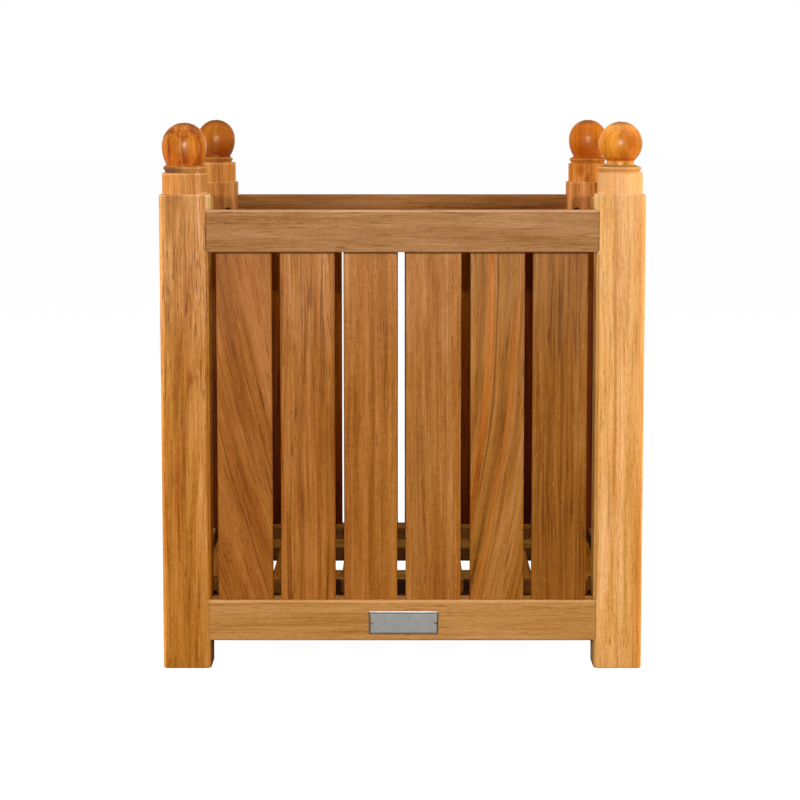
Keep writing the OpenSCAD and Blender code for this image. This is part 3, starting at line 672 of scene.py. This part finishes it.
# ---------------------------------------------------------------- rails
def make_rail(wall, z0, level):
    name = f"rail_{level}_{WALLS[wall]}"
    seed = SEEDS[name]
    turn = wall_matrix(wall)
    place = turn @ Matrix.Translation((0, -RAIL_C, z0 + RAIL_H / 2))
    lie = Matrix(((0, 0, 1, 0), (0, 1, 0, 0), (1, 0, 0, 0), (0, 0, 0, 1)))  # local X -> Z, local Z -> X
    bm = bmesh.new()
    loft(bm, placed(board_mesh(RAIL_H, RAIL_T, RAIL_R, 2 * (POST_IN + HOUSING) - 0.2, seed, worn=0.15, edge_worn=0.35), place @ lie))
    obj = to_object("board_" + name, bm, None)
    cutter = bmesh.new()
    for n in range(6):
        x = (n - 2.5) * PITCH + SHIFT[wall][n]
        into = z0 if level == "top" else z0 + RAIL_H
        cutter_box(cutter, (x, -SLAT_C, into), (SLAT_W[n] + 0.1, SLAT_T + 0.1, 2 * SLAT_IN + 0.1), r=SLAT_R, turn=turn)
    if level == "bottom" and wall % 2 == 0:
        for x in (-150, 0, 150):
            cutter_rod(cutter, (x, -(CLEAT_C + CLEAT_T / 2 - 2), LOW_TOP - CLEAT_H / 2 - 2), (x, -(CLEAT_C - CLEAT_T / 2 + 34.2), LOW_TOP - CLEAT_H / 2 - 2), 4.2, turn=turn, n=20)
    cut(obj, cutter)
    # Tenons, as closed shells of the same piece.
    bm = bmesh.new()
    bm.from_mesh(obj.data)
    for s in (-1, 1):
        cutter_box(bm, (s * (POST_IN + TENON_L / 2 - 0.5), -RAIL_C, z0 + RAIL_H / 2), (TENON_L - 1, TENON_T - 0.2, TENON_H - 0.2), turn=turn)
    bmesh.ops.recalc_face_normals(bm, faces=bm.faces)
    bm.to_mesh(obj.data)
    bm.free()
    obj.data.set_sharp_from_angle(angle=math.radians(38))
    centre = turn @ Vector((0, -RAIL_C, z0 + RAIL_H / 2))
    rng = random.Random(seed)
    shade = rng.uniform(-8, 8)
    o = look(name, S(160 + shade, 104 + shade, 54 + shade))
    base = o.pop("base")
    v, w = ("Y", "X") if wall % 2 == 0 else ("X", "Y")
    obj.data.materials.clear()
    obj.data.materials.append(teak("teak_" + name, "Z", v, w, centre, (RAIL_H / 2, RAIL_T / 2), base, seed, **o))
    finish_piece(obj, [name], "frame")


for wall in range(4):
    make_rail(wall, TOP_RAIL_Z, "top")
    make_rail(wall, LOW_RAIL_Z, "bottom")


# ---------------------------------------------------------------- posts
def lathe(bm, profile, cx, cy, n=112, wobble=0.0, seed=0):
    """Closed turned shell from (radius, z) pairs, bottom to top (mm). The first and last radius are 0."""
    rings = []
    for r, z in profile:
        if r < 1e-6:
            rings.append([bm.verts.new((cx * MM, cy * MM, z * MM))])
            continue
        ring = []
        for k in range(n):
            a = 2 * math.pi * k / n
            d = wobble * noise.noise(Vector((math.cos(a) * 1.3 + seed, math.sin(a) * 1.3, z / 16.0 + seed * 0.7)))
            rr = r - wobble + d if r > 1 else r
            ring.append(bm.verts.new(((cx + rr * math.cos(a)) * MM, (cy + rr * math.sin(a)) * MM, z * MM)))
        rings.append(ring)
    for a, b in zip(rings, rings[1:]):
        if len(a) == 1:
            for k in range(n):
                bm.faces.new((a[0], b[(k + 1) % n], b[k]))
        elif len(b) == 1:
            for k in range(n):
                bm.faces.new((a[k], a[(k + 1) % n], b[0]))
        else:
            for k in range(n):
                bm.faces.new((a[k], a[(k + 1) % n], b[(k + 1) % n], b[k]))


def eased_profile(points, r=0.5, steps=4):
    """Rounds the inner corners of a polyline of (radius, z) by r (mm). The ends stay."""
    out = [points[0]]
    for a, b, c in zip(points, points[1:], points[2:]):
        va, vc = Vector((a[0] - b[0], a[1] - b[1])), Vector((c[0] - b[0], c[1] - b[1]))
        ra = min(r, va.length * 0.45)
        rc = min(r, vc.length * 0.45)
        if ra < 0.02 or rc < 0.02:
            out.append(b)
            continue
        pa, pc = Vector(b) + va.normalized() * ra, Vector(b) + vc.normalized() * rc
        for k in range(steps + 1):
            f = k / steps
            p = pa.lerp(Vector(b), f).lerp(Vector(b).lerp(pc, f), f)
            out.append((p.x, p.y))
    out.append(points[-1])
    return out


def make_post(i):
    name = "post_" + CORNERS[i]
    seed = SEEDS[name]
    sx, sy = POST_XY[i]
    cx, cy = sx * POST_C, sy * POST_C
    bm = bmesh.new()
    place = Matrix.Translation((cx, cy, SHOULDER / 2))
    loft(bm, placed(board_mesh(POST_W, POST_W, POST_R, SHOULDER, seed, ends=1.1, worn=0.14, edge_worn=0.3, step=6.0), place))
    obj = to_object("body_" + name, bm, None)
    cutter = bmesh.new()
    for wall in ((0, 3), (0, 1), (2, 3), (2, 1))[i]:
        turn = wall_matrix(wall)
        for z0 in (TOP_RAIL_Z, LOW_RAIL_Z):
            cutter_box(cutter, (0, -RAIL_C, z0 + RAIL_H / 2), (2 * (POST_IN + HOUSING), RAIL_T + 0.16, RAIL_H + 0.16), r=RAIL_R, axis=0, turn=turn)
            cutter_box(cutter, (0, -RAIL_C, z0 + RAIL_H / 2), (2 * (POST_IN + TENON_L), TENON_T, TENON_H), turn=turn)
            up = 3 if wall % 2 == 0 else -9
            for s in (-1, 1):
                at = (s * LOCK_IN, z0 + RAIL_H / 2 + up)
                cutter_rod(cutter, (at[0], -(POST_IN - 2), at[1]), (at[0], -(POST_IN + BORE_L), at[1]), BORE_D, turn=turn, n=48)
    cut(obj, cutter)
    bm = bmesh.new()
    bm.from_mesh(obj.data)
    c, f = COLLAR_D[i] / 2, BALL_FOOT[i] / 2
    under = min(UNDERCUT_D, COLLAR_D[i] - 4) / 2
    neck = [(0.0, SHOULDER - 3), (NECK_D / 2, SHOULDER - 3), (NECK_D / 2, SHOULDER + 6), (NECK_D / 2, SHOULDER + 12), (NECK_D / 2, NECK_TOP[i] - 5),
            (NECK_D / 2, NECK_TOP[i]), (under, NECK_TOP[i]), (c, COLLAR_Z - 0.5), (c, COLLAR_Z), (f + 0.4, SEAT_Z), (0.0, SEAT_Z)]
    lathe(bm, eased_profile(neck, 0.7), cx, cy, wobble=0.05, seed=seed)
    bmesh.ops.recalc_face_normals(bm, faces=bm.faces)
    bm.to_mesh(obj.data)
    bm.free()
    for poly in obj.data.polygons:
        poly.use_smooth = True
    obj.data.set_sharp_from_angle(angle=math.radians(38))
    o = look(name, S(170, 104, 48))
    base = o.pop("base")
    mat = teak("teak_" + name, "X", "Y", "Z", (cx, cy, SHOULDER / 2), (POST_W / 2, POST_W / 2), base, seed, **o)
    obj.data.materials.clear()
    obj.data.materials.append(mat)
    finish_piece(obj, [name], "frame")


for i in range(4):
    make_post(i)


# ---------------------------------------------------------------- ball finials
def make_finial(i):
    name = "finial_" + CORNERS[i]
    seed = SEEDS[name]
    sx, sy = POST_XY[i]
    cx, cy = sx * POST_C, sy * POST_C
    r, foot, z1, top = BALL_D[i] / 2, BALL_FOOT[i] / 2, SEAT_Z + BALL_STEM[i], BALL_TOP[i]
    mid_z = top - r - 0.4
    a0 = math.acos(foot / r)
    b, up = (mid_z - z1) / math.sin(a0), top - mid_z
    profile = [(0.0, SEAT_Z), (foot * 0.6, SEAT_Z), (foot, SEAT_Z)]
    if BALL_STEM[i] > 1:
        profile += [(foot - 0.2, SEAT_Z + BALL_STEM[i] * 0.35), (foot - 0.3, SEAT_Z + BALL_STEM[i] * 0.7)]
    profile += [(r * math.cos(a0 * (1 - k / 26)), mid_z - b * math.sin(a0 * (1 - k / 26))) for k in range(27)]
    profile += [(r * math.cos(math.pi / 2 * k / 40), mid_z + up * math.sin(math.pi / 2 * k / 40)) for k in range(1, 40)]
    profile += [(0.0, top)]
    bm = bmesh.new()
    lathe(bm, profile, cx, cy, n=144, wobble=0.12, seed=seed)
    # The balls get painted light paler towards the crown, from 556 to 575 mm, and painted shade on their lower halves.
    o = look(name, S(190, 100, 26), pith=(60, -30), tilt=(0.03, 0.05), ring=5.0, line=0.6, edge=0.0, rough=0.37, sheen=0.45, pale_z=(556.0, 575.0), spec=1.0, ior=1.6, spec_tint=(1.0, 0.80, 0.56), red=0.4, low=(536.0, 554.0, (0.84, 0.70, 0.45)), fibre=0.5,
             pore=0.3, big_pore=0.7, fine=0.3, streak=1.1, mid=0.8, patch=0.8, bump=0.45, dark=(0.34, 0.18, 0.05), light=(1.32, 1.62, 3.2), mineral=0.7)
    base = o.pop("base")
    mat = teak("teak_" + name, "X", "Y", "Z", (cx, cy, mid_z), (r, r), base, seed, **o)
    finish_piece(to_object("turned_" + name, bm, mat, angle=50), [name], "frame")


for i in range(4):
    make_finial(i)


# ---------------------------------------------------------------- floor, battens and cleats
def make_floor_slat(n):
    name = f"floor_slat_{n + 1}"
    seed = SEEDS[name]
    x = (n - 2.5) * FLOOR_PITCH
    zc = LOW_TOP + FLOOR_T / 2
    lie = Matrix(((1, 0, 0, 0), (0, 0, -1, 0), (0, 1, 0, 0), (0, 0, 0, 1)))  # local Y -> Z, local Z -> -Y
    bm = bmesh.new()
    loft(bm, placed(board_mesh(FLOOR_W, FLOOR_T, 2.5, FLOOR_L, seed, ends=1.2, worn=0.2, edge_worn=0.4), Matrix.Translation((x, 0, zc)) @ lie))
    obj = to_object("board_" + name, bm, None)
    cutter = bmesh.new()
    if n in (0, 5):
        s = -1 if n == 0 else 1
        for e in (-1, 1):
            cutter_box(cutter, (s * (NOTCH_X + 25), e * (NOTCH_Y + 25), zc), (50, 50, FLOOR_T + 2), r=1.5)
    for s in (-1, 1):
        cutter_rod(cutter, (x, s * BATTEN_Y, LOW_TOP - 1), (x, s * BATTEN_Y, LOW_TOP - BATTEN_T + 28), 4.2, n=20)
    cut(obj, cutter)
    for poly in obj.data.polygons:
        poly.use_smooth = True
    obj.data.set_sharp_from_angle(angle=math.radians(38))
    rng = random.Random(seed)
    shade = rng.uniform(-10, 10)
    o = look(name, S(158 + shade, 100 + shade, 30 + shade), spec=0.12)
    base = o.pop("base")
    obj.data.materials.clear()
    obj.data.materials.append(teak("teak_" + name, "X", "Z", "Y", (x, 0, zc), (FLOOR_W / 2, FLOOR_T / 2), base, seed, **o))
    finish_piece(obj, [name], "floor")


def make_batten(s):
    name = "floor_batten_" + ("front" if s < 0 else "back")
    seed = SEEDS[name]
    zc = LOW_TOP - BATTEN_T / 2
    lie = Matrix(((0, 0, 1, 0), (1, 0, 0, 0), (0, 1, 0, 0), (0, 0, 0, 1)))  # local X -> Y, Y -> Z, Z -> X
    bm = bmesh.new()
    loft(bm, placed(board_mesh(BATTEN_W, BATTEN_T, 2.0, BATTEN_L, seed, ends=1.2, worn=0.2, edge_worn=0.4), Matrix.Translation((0, s * BATTEN_Y, zc)) @ lie))
    obj = to_object("board_" + name, bm, None)
    cutter = bmesh.new()
    for n in range(6):
        x = (n - 2.5) * FLOOR_PITCH
        cutter_rod(cutter, (x, s * BATTEN_Y, LOW_TOP - BATTEN_T - 1), (x, s * BATTEN_Y, LOW_TOP + 1), 4.2, n=24)
    cut(obj, cutter)
    for poly in obj.data.polygons:
        poly.use_smooth = True
    obj.data.set_sharp_from_angle(angle=math.radians(38))
    o = look(name, S(172, 110, 56), spec=0.12)
    base = o.pop("base")
    obj.data.materials.clear()
    obj.data.materials.append(teak("teak_" + name, "Y", "Z", "X", (0, s * BATTEN_Y, zc), (BATTEN_W / 2, BATTEN_T / 2), base, seed, **o))
    finish_piece(obj, [name], "floor")


def make_cleat(wall):
    name = "cleat_" + WALLS[wall]
    seed = SEEDS[name]
    turn = wall_matrix(wall)
    zc = LOW_TOP - CLEAT_H / 2
    lie = Matrix(((0, 0, 1, 0), (0, 1, 0, 0), (1, 0, 0, 0), (0, 0, 0, 1)))
    bm = bmesh.new()
    loft(bm, placed(board_mesh(CLEAT_H, CLEAT_T, 1.5, 2 * POST_IN - 0.5, seed, ends=0.8, worn=0.15, edge_worn=0.3), turn @ Matrix.Translation((0, -CLEAT_C, zc)) @ lie))
    obj = to_object("board_" + name, bm, None)
    cutter = bmesh.new()
    inner = CLEAT_C - CLEAT_T / 2
    for x in (-150, 0, 150):
        cutter_rod(cutter, (x, -(inner - 1), zc - 2), (x, -(inner + CLEAT_T + 1), zc - 2), 4.2, turn=turn, n=24)
    cut(obj, cutter)
    cutter = bmesh.new()
    for x in (-150, 0, 150):
        cone(cutter, (x, -inner, zc - 2), (0, -1, 0), 8.4, 4.2, 4.2, turn)
    cut(obj, cutter)
    for poly in obj.data.polygons:
        poly.use_smooth = True
    obj.data.set_sharp_from_angle(angle=math.radians(38))
    centre = turn @ Vector((0, -CLEAT_C, zc))
    o = look(name, S(176, 116, 60), spec=0.12)
    base = o.pop("base")
    obj.data.materials.clear()
    obj.data.materials.append(teak("teak_" + name, "Z", "Y", "X", centre, (CLEAT_H / 2, CLEAT_T / 2), base, seed, **o))
    finish_piece(obj, [name], "frame")


def cone(bm, start, axis, d1, d2, length, turn=Matrix.Identity(4), n=32):
    """Countersink: a cylinder of d1 above start and a cone from d1 to d2 along axis below it (mm)."""
    start, axis = Vector(start), Vector(axis).normalized()
    side = axis.orthogonal().normalized()
    up = axis.cross(side)
    loops = []
    for at, d in ((-1.0, d1), (0.0, d1), (length, d2)):
        loops.append([(turn @ (start + axis * at + side * (d / 2 * math.cos(2 * math.pi * k / n)) + up * (d / 2 * math.sin(2 * math.pi * k / n)))) * MM for k in range(n)])
    loft(bm, loops)


for n in range(6):
    make_floor_slat(n)
for s in (-1, 1):
    make_batten(s)
for wall in (0, 2):
    make_cleat(wall)


# ---------------------------------------------------------------- metal
def metal(name, colour, rough, brush, seed, grime=0.0, rim=None):
    """brush is the world axis along the brushing, or None."""
    g = Graph(name)
    coords = g.vmath("SCALE", g.node("ShaderNodeTexCoord").outputs["Object"], 1000.0)
    scale = {"X": (1 / 14, 9.0, 9.0), "Y": (9.0, 1 / 14, 9.0), "Z": (9.0, 9.0, 1 / 14), None: (1.2, 1.2, 1.2)}[brush]
    lines = g.noise(g.scaled(coords, *scale, (seed, seed * 2, -seed)), 3.0, 0.6)
    cloud = g.noise(g.scaled(coords, 1 / 9, 1 / 9, 1 / 9, (seed * 3, 0, seed)), 2.0, 0.5)
    tone = g.math("MULTIPLY_ADD", g.math("SUBTRACT", lines, 0.5), 0.35, g.math("MULTIPLY_ADD", g.math("SUBTRACT", cloud, 0.5), 0.3 + grime, 0.95))
    if rim:
        # Darker along the sides and foot of the plate and in its engraved line; a painted highlight along the upper
        # edge.
        px, _, pz = g.split(coords)
        dx = g.math("SUBTRACT", rim[1], g.math("ABSOLUTE", g.math("SUBTRACT", px, rim[0])))
        dz = g.math("SUBTRACT", pz, rim[2] - rim[3])
        up = g.math("SUBTRACT", rim[2] + rim[3], pz)
        darker_sides = g.math("MULTIPLY", g.range(g.math("MINIMUM", dx, dz), 1.0, 0.5), 0.35)
        inset = g.math("MINIMUM", g.math("MINIMUM", dx, dz), g.math("SUBTRACT", up, 0.7))
        line = g.math("MULTIPLY", g.range(g.math("ABSOLUTE", g.math("SUBTRACT", inset, 1.35)), 0.62, 0.25), 0.75)
        tone = g.math("MULTIPLY", tone, g.math("SUBTRACT", 1.0, g.math("MAXIMUM", darker_sides, line)))
        # Painted highlight: the upper edge lighter.
        tone = g.math("ADD", tone, g.math("MULTIPLY", g.range(up, 1.5, 1.2), 0.45))
    shader = g.node("ShaderNodeBsdfPrincipled")
    g.put(shader.inputs["Base Color"], g.mix(1.0, colour, g.join(tone, tone, tone), "MULTIPLY"))
    shader.inputs["Metallic"].default_value = 1.0
    g.put(shader.inputs["Roughness"], g.math("MULTIPLY_ADD", g.math("SUBTRACT", lines, 0.5), 0.25, rough))
    bump = g.node("ShaderNodeBump")
    bump.inputs["Strength"].default_value = 0.35
    bump.inputs["Distance"].default_value = 0.0001
    g.put(bump.inputs["Height"], lines)
    g.put(shader.inputs["Normal"], bump.outputs[0])
    g.tree.links.new(shader.outputs[0], g.out.inputs[0])
    return g.mat


# The screws are a dark brown steel.
steel = metal("dark_brown_steel_screws", (0.15, 0.085, 0.04), 0.55, None, 3.0, 0.2)
plate_steel = metal("steel_plate", (0.74, 0.74, 0.72), 0.42, "X", 5.0, rim=(PLATE_X, PLATE_W / 2, PLATE_Z, PLATE_H / 2))
brass = metal("brass_pins", (0.62, 0.40, 0.20), 0.35, None, 7.0, 0.2)


def make_plate():
    """Thin plate with a bevelled rim and one engraved border line; nothing is written on it."""
    bm = bmesh.new()
    rings = [(0.0, 0.0), (0.0, 0.55), (0.10, 0.72), (0.30, 0.88), (0.60, 1.0), (0.98, 1.0), (1.12, 0.86), (1.35, 0.78), (1.58, 0.86), (1.72, 1.0), (6.0, 1.0)]
    loops = []
    for inset, depth in rings:
        pts = outline(PLATE_W - 2 * inset, PLATE_H - 2 * inset, max(1.2 - inset, 0.45) if inset < 1.3 else 0.8, step=1000, arc=5)
        loops.append([Vector((PLATE_X + x, -(HALF - RAIL_BACK + depth), PLATE_Z + z)) * MM for x, z in pts])
    n = min(len(l) for l in loops)
    loops = [l[:n] for l in loops]
    loft(bm, loops)
    obj = to_object("plate_bare", bm, plate_steel, angle=25)
    finish_piece(obj, ["name_plate"], "frame")


def make_pins():
    bm = bmesh.new()
    for s in (-1, 1):
        x = PLATE_X + s * PIN_X
        front = -(HALF - RAIL_BACK + PLATE_T)
        profile = [(0.0, 7.0), (0.8, 7.0), (0.8, 0.05), (1.45, 0.0), (1.5, -0.12), (1.36, -0.28), (1.0, -0.39), (0.5, -0.44), (0.0, -0.45)]
        rings = []
        for r, d in profile:
            if r == 0:
                rings.append([bm.verts.new((x * MM, (front + d) * MM, PLATE_Z * MM))])
            else:
                rings.append([bm.verts.new(((x + r * math.cos(2 * math.pi * k / 32)) * MM, (front + d) * MM, (PLATE_Z + r * math.sin(2 * math.pi * k / 32)) * MM)) for k in range(32)])
        for a, b in zip(rings, rings[1:]):
            for k in range(32):
                j = (k + 1) % 32
                if len(a) == 1:
                    bm.faces.new((a[0], b[j], b[k]))
                elif len(b) == 1:
                    bm.faces.new((a[k], a[j], b[0]))
                else:
                    bm.faces.new((a[k], a[j], b[j], b[k]))
    finish_piece(to_object("pins_domed", bm, brass), ["plate_pins"], "frame")


make_plate()
make_pins()


def screw_mesh(length, d, head, head_t, flat):
    """One screw along +Z, its head at or above z = 0 (mm), with a crossed recess and a thread of rings."""
    bm = bmesh.new()
    if flat:
        profile = [(0.0, 0.12), (head * 0.3, 0.05), (head / 2 - 0.15, 0.0), (head / 2, 0.12), (head / 2 - 0.1, 0.4), (d / 2, head_t)]
        z = head_t
    else:
        profile = [(0.0, -head_t), (head * 0.2, -head_t + 0.03), (head * 0.34, -head_t + 0.3), (head * 0.44, -head_t + 0.85), (head / 2, -head_t + 1.7), (head / 2, -0.2), (head / 2 - 0.2, 0.0), (d / 2, 0.0)]
        z = 0.4
    profile.append((d / 2 * 0.82, z + 1.0))
    pitch = 1.6
    z += 1.0
    while z < length - 4.6:
        profile += [(d / 2 * 0.72, z + 0.35), (d / 2, z + 0.75), (d / 2, z + 0.9), (d / 2 * 0.72, z + 1.3)]
        z += pitch
    profile += [(d / 2 * 0.6, length - 3), (0.3, length - 0.2), (0.0, length)]
    rings = []
    n = 36
    for r, zz in profile:
        if r == 0:
            rings.append([bm.verts.new((0, 0, zz))])
        else:
            rings.append([bm.verts.new((r * math.cos(2 * math.pi * k / n), r * math.sin(2 * math.pi * k / n), zz)) for k in range(n)])
    for a, b in zip(rings, rings[1:]):
        for k in range(n):
            j = (k + 1) % n
            if len(a) == 1:
                bm.faces.new((a[0], b[j], b[k]))
            elif len(b) == 1:
                bm.faces.new((a[k], a[j], b[0]))
            else:
                bm.faces.new((a[k], a[j], b[j], b[k]))
    for f in bm.faces:
        f.smooth = True
    obj = to_object("screw_tmp", bm, None)
    # The recess, one bar of the cross at a time.
    top = 0.12 if flat else -head_t
    for sx, sy in ((head * 0.56, 1.15), (1.15, head * 0.56)):
        cutter = bmesh.new()
        loops = []
        for zz, k in ((top - 0.6, 1.0), (top + (1.4 if flat else 1.5), 0.55)):
            loops.append([((sx / 2 * k) * a1, (sy / 2 * (k if sy > sx else 1)) * b1, zz) for a1, b1 in ((1, 1), (-1, 1), (-1, -1), (1, -1))])
        loft(cutter, loops)
        bmesh.ops.recalc_face_normals(cutter, faces=cutter.faces)
        mesh = bpy.data.meshes.new("cutter")
        cutter.to_mesh(mesh)
        cutter.free()
        tool = bpy.data.objects.new("cutter", mesh)
        bpy.context.scene.collection.objects.link(tool)
        mod = obj.modifiers.new("cut", "BOOLEAN")
        mod.operation, mod.solver, mod.object = "DIFFERENCE", "MANIFOLD", tool
        bake_modifiers(obj)
        bpy.data.objects.remove(tool)
        bpy.data.meshes.remove(mesh)
    result = obj.data.copy()
    bpy.data.objects.remove(obj)
    return result


def screws(name, node, body, spots, *size):
    """spots are matrices (mm) that put a screw's head at its place."""
    single = screw_mesh(*size)
    bm = bmesh.new()
    for k, spot in enumerate(spots):
        part = bmesh.new()
        part.from_mesh(single)
        # Every screw stops at its own angle.
        part.transform(Matrix.Scale(MM, 4) @ spot @ Matrix.Rotation(k * 1.7 + 0.4, 4, "Z"))
        tmp = bpy.data.meshes.new("tmp")
        part.to_mesh(tmp)
        part.free()
        bm.from_mesh(tmp)
        bpy.data.meshes.remove(tmp)
    obj = to_object(name, bm, steel, angle=35)
    bpy.data.meshes.remove(single)
    finish_piece(obj, [node], body)


spots = []
for wall in range(4):
    for z0 in (TOP_RAIL_Z, LOW_RAIL_Z):
        for s in (-1, 1):
            up = 3 if wall % 2 == 0 else -9
            spots.append(wall_matrix(wall) @ Matrix.Translation((s * LOCK_IN, -(POST_IN + BORE_L), z0 + RAIL_H / 2 + up)) @ Matrix.Rotation(math.radians(90), 4, "X"))
screws("screws_frame", "frame_screws", "frame", spots, LOCK_L, 4.4, 8.0, 3.0, False)
spots = [wall_matrix(wall) @ Matrix.Translation((x, -(CLEAT_C - CLEAT_T / 2), LOW_TOP - CLEAT_H / 2 - 2)) @ Matrix.Rotation(math.radians(90), 4, "X")
         for wall in (0, 2) for x in (-150, 0, 150)]
screws("screws_cleats", "cleat_screws", "frame", spots, 34.0, 4.0, 8.0, 3.0, True)
spots = [Matrix.Translation(((n - 2.5) * FLOOR_PITCH, s * BATTEN_Y, LOW_TOP - BATTEN_T)) for n in range(6) for s in (-1, 1)]
screws("screws_floor", "floor_screws", "floor", spots, 27.0, 4.0, 8.0, 3.0, True)

# The dowels stay CAD nodes, in plain beech.
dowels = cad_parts["finial_dowels"]
beech = teak("beech_dowels", "X", "Y", "Z", (0, 0, SEAT_Z), (400, 400), S(214, 176, 122), 99, line=0.1, streak=0.2, pore=0.2, big_pore=0.1, edge=0.0)
for slot in dowels.material_slots:
    slot.material = beech
if not dowels.material_slots:
    dowels.data.materials.append(beech)


# ---------------------------------------------------------------- stage, lights and camera
def make_stage():
    bm = bmesh.new()
    bmesh.ops.create_circle(bm, cap_ends=True, cap_tris=False, segments=96, radius=30.0)
    mesh = bpy.data.meshes.new("studio_floor")
    bm.to_mesh(mesh)
    bm.free()
    obj = bpy.data.objects.new("studio_floor", mesh)
    bpy.context.scene.collection.objects.link(obj)
    g = Graph("studio_floor")
    # Pale for the picture, and a duller bounce for the wood, as a floor that is lit less than the backdrop.
    shown = g.node("ShaderNodeEmission")
    shown.inputs["Strength"].default_value = 0.97
    catch = g.node("ShaderNodeBsdfDiffuse")
    catch.inputs["Color"].default_value = (0.10, 0.10, 0.10, 1)
    seen = g.node("ShaderNodeAddShader")
    g.tree.links.new(catch.outputs[0], seen.inputs[0])
    g.tree.links.new(shown.outputs[0], seen.inputs[1])
    bounce = g.node("ShaderNodeBsdfDiffuse")
    bounce.inputs["Color"].default_value = (0.12, 0.115, 0.11, 1)
    pick = g.node("ShaderNodeMixShader")
    g.tree.links.new(g.node("ShaderNodeLightPath").outputs["Is Camera Ray"], pick.inputs[0])
    g.tree.links.new(bounce.outputs[0], pick.inputs[1])
    g.tree.links.new(seen.outputs[0], pick.inputs[2])
    g.tree.links.new(pick.outputs[0], g.out.inputs[0])
    mesh.materials.append(g.mat)


make_stage()

WALL_FRONT, WALL_BACK, CEILING, SHEEN_CUT = 0.6, 1.0, 0.16, 0.7
scene = bpy.context.scene
world = bpy.data.worlds.new("studio")
scene.world = world
world.use_nodes = True
wt = world.node_tree
wt.nodes.clear()


def world_node(kind, *values, **props):
    n = wt.nodes.new(kind)
    for key, value in props.items():
        setattr(n, key, value)
    for socket, value in zip(n.inputs, values):
        if isinstance(value, bpy.types.NodeSocket):
            wt.links.new(value, socket)
        elif value is not None:
            socket.default_value = value
    return n


# A white backdrop all round at the level of the box, brighter on the camera's side, and a dimmer ceiling.
w_dir = world_node("ShaderNodeSeparateXYZ", world_node("ShaderNodeTexCoord").outputs["Generated"])
w_low = world_node("ShaderNodeMapRange", w_dir.outputs["Z"], 0.10, 0.30, 1.0, 0.0, interpolation_type="SMOOTHSTEP").outputs[0]
w_side = world_node("ShaderNodeMapRange", w_dir.outputs["Y"], -0.2, 0.2, WALL_FRONT, WALL_BACK, interpolation_type="SMOOTHSTEP").outputs[0]
w_level = world_node("ShaderNodeMix", w_low, None, CEILING, w_side).outputs[0]
w_path = world_node("ShaderNodeLightPath")
w_dull = world_node("ShaderNodeMath", w_level, world_node("ShaderNodeMath", w_path.outputs["Is Glossy Ray"], -SHEEN_CUT, 1.0, operation="MULTIPLY_ADD").outputs[0], operation="MULTIPLY").outputs[0]
w_seen = world_node("ShaderNodeMix", w_path.outputs["Is Camera Ray"], None, w_dull, 1.0).outputs[0]
w_bg = world_node("ShaderNodeBackground", (1.0, 1.0, 1.0, 1.0), w_seen)
world_node("ShaderNodeOutputWorld", w_bg.outputs[0])


def area(name, at, target, size, power, shape="DISK", colour=(1, 1, 1), size_y=None, shiny=True):
    data = bpy.data.lights.new(name, "AREA")
    data.shape = shape
    data.size = size
    if size_y:
        data.size_y = size_y
    data.energy = power
    data.color = colour
    obj = bpy.data.objects.new(name, data)
    obj.location = at
    obj.rotation_euler = (Vector(target) - Vector(at)).to_track_quat("-Z", "Y").to_euler()
    scene.collection.objects.link(obj)
    obj.visible_camera = False
    obj.visible_glossy = shiny
    return obj


area("lamp", (0.0, -2.85, 0.853), (0, -0.2, 0.3), 0.04, 23.0, colour=(1, 0.985, 0.96))
area("box_left", (-1.5, -2.0, 0.64), (0, -0.25, 0.35), 0.35, 18.0, "SQUARE", shiny=False)
area("box_right", (1.5, -2.0, 0.64), (0, -0.25, 0.35), 0.35, 17.5, "SQUARE", shiny=False)
area("side_left", (-1.9, -0.15, 0.62), (0, 0, 0.4), 0.3, 30.0, "SQUARE", shiny=False)
area("side_right", (1.9, -0.15, 0.62), (0, 0, 0.4), 0.3, 30.0, "SQUARE", shiny=False)
area("back_left", (-1.6, 2.0, 0.62), (0, 0.25, 0.35), 0.35, 25.0, "SQUARE", shiny=False)
area("back_right", (1.6, 2.0, 0.62), (0, 0.25, 0.35), 0.35, 25.0, "SQUARE", shiny=False)
area("top", (0.0, 0.0, 2.6), (0, 0, 0), 0.6, 24.0, "SQUARE", shiny=False)

camera = bpy.data.objects.new("camera", bpy.data.cameras.new("camera"))
scene.collection.objects.link(camera)
camera.data.sensor_width = 36
camera.data.lens = 112.05
camera.data.clip_start = 0.05
camera.data.clip_end = 100
camera.location = (-0.00254, -2.8503, 0.5885)
camera.rotation_euler = (math.radians(90 - 6.62), 0, 0)
scene.camera = camera

scene.view_settings.view_transform = "Standard"
scene.view_settings.look = "None"
scene.view_settings.exposure = 0.0
scene.view_settings.gamma = 1.0
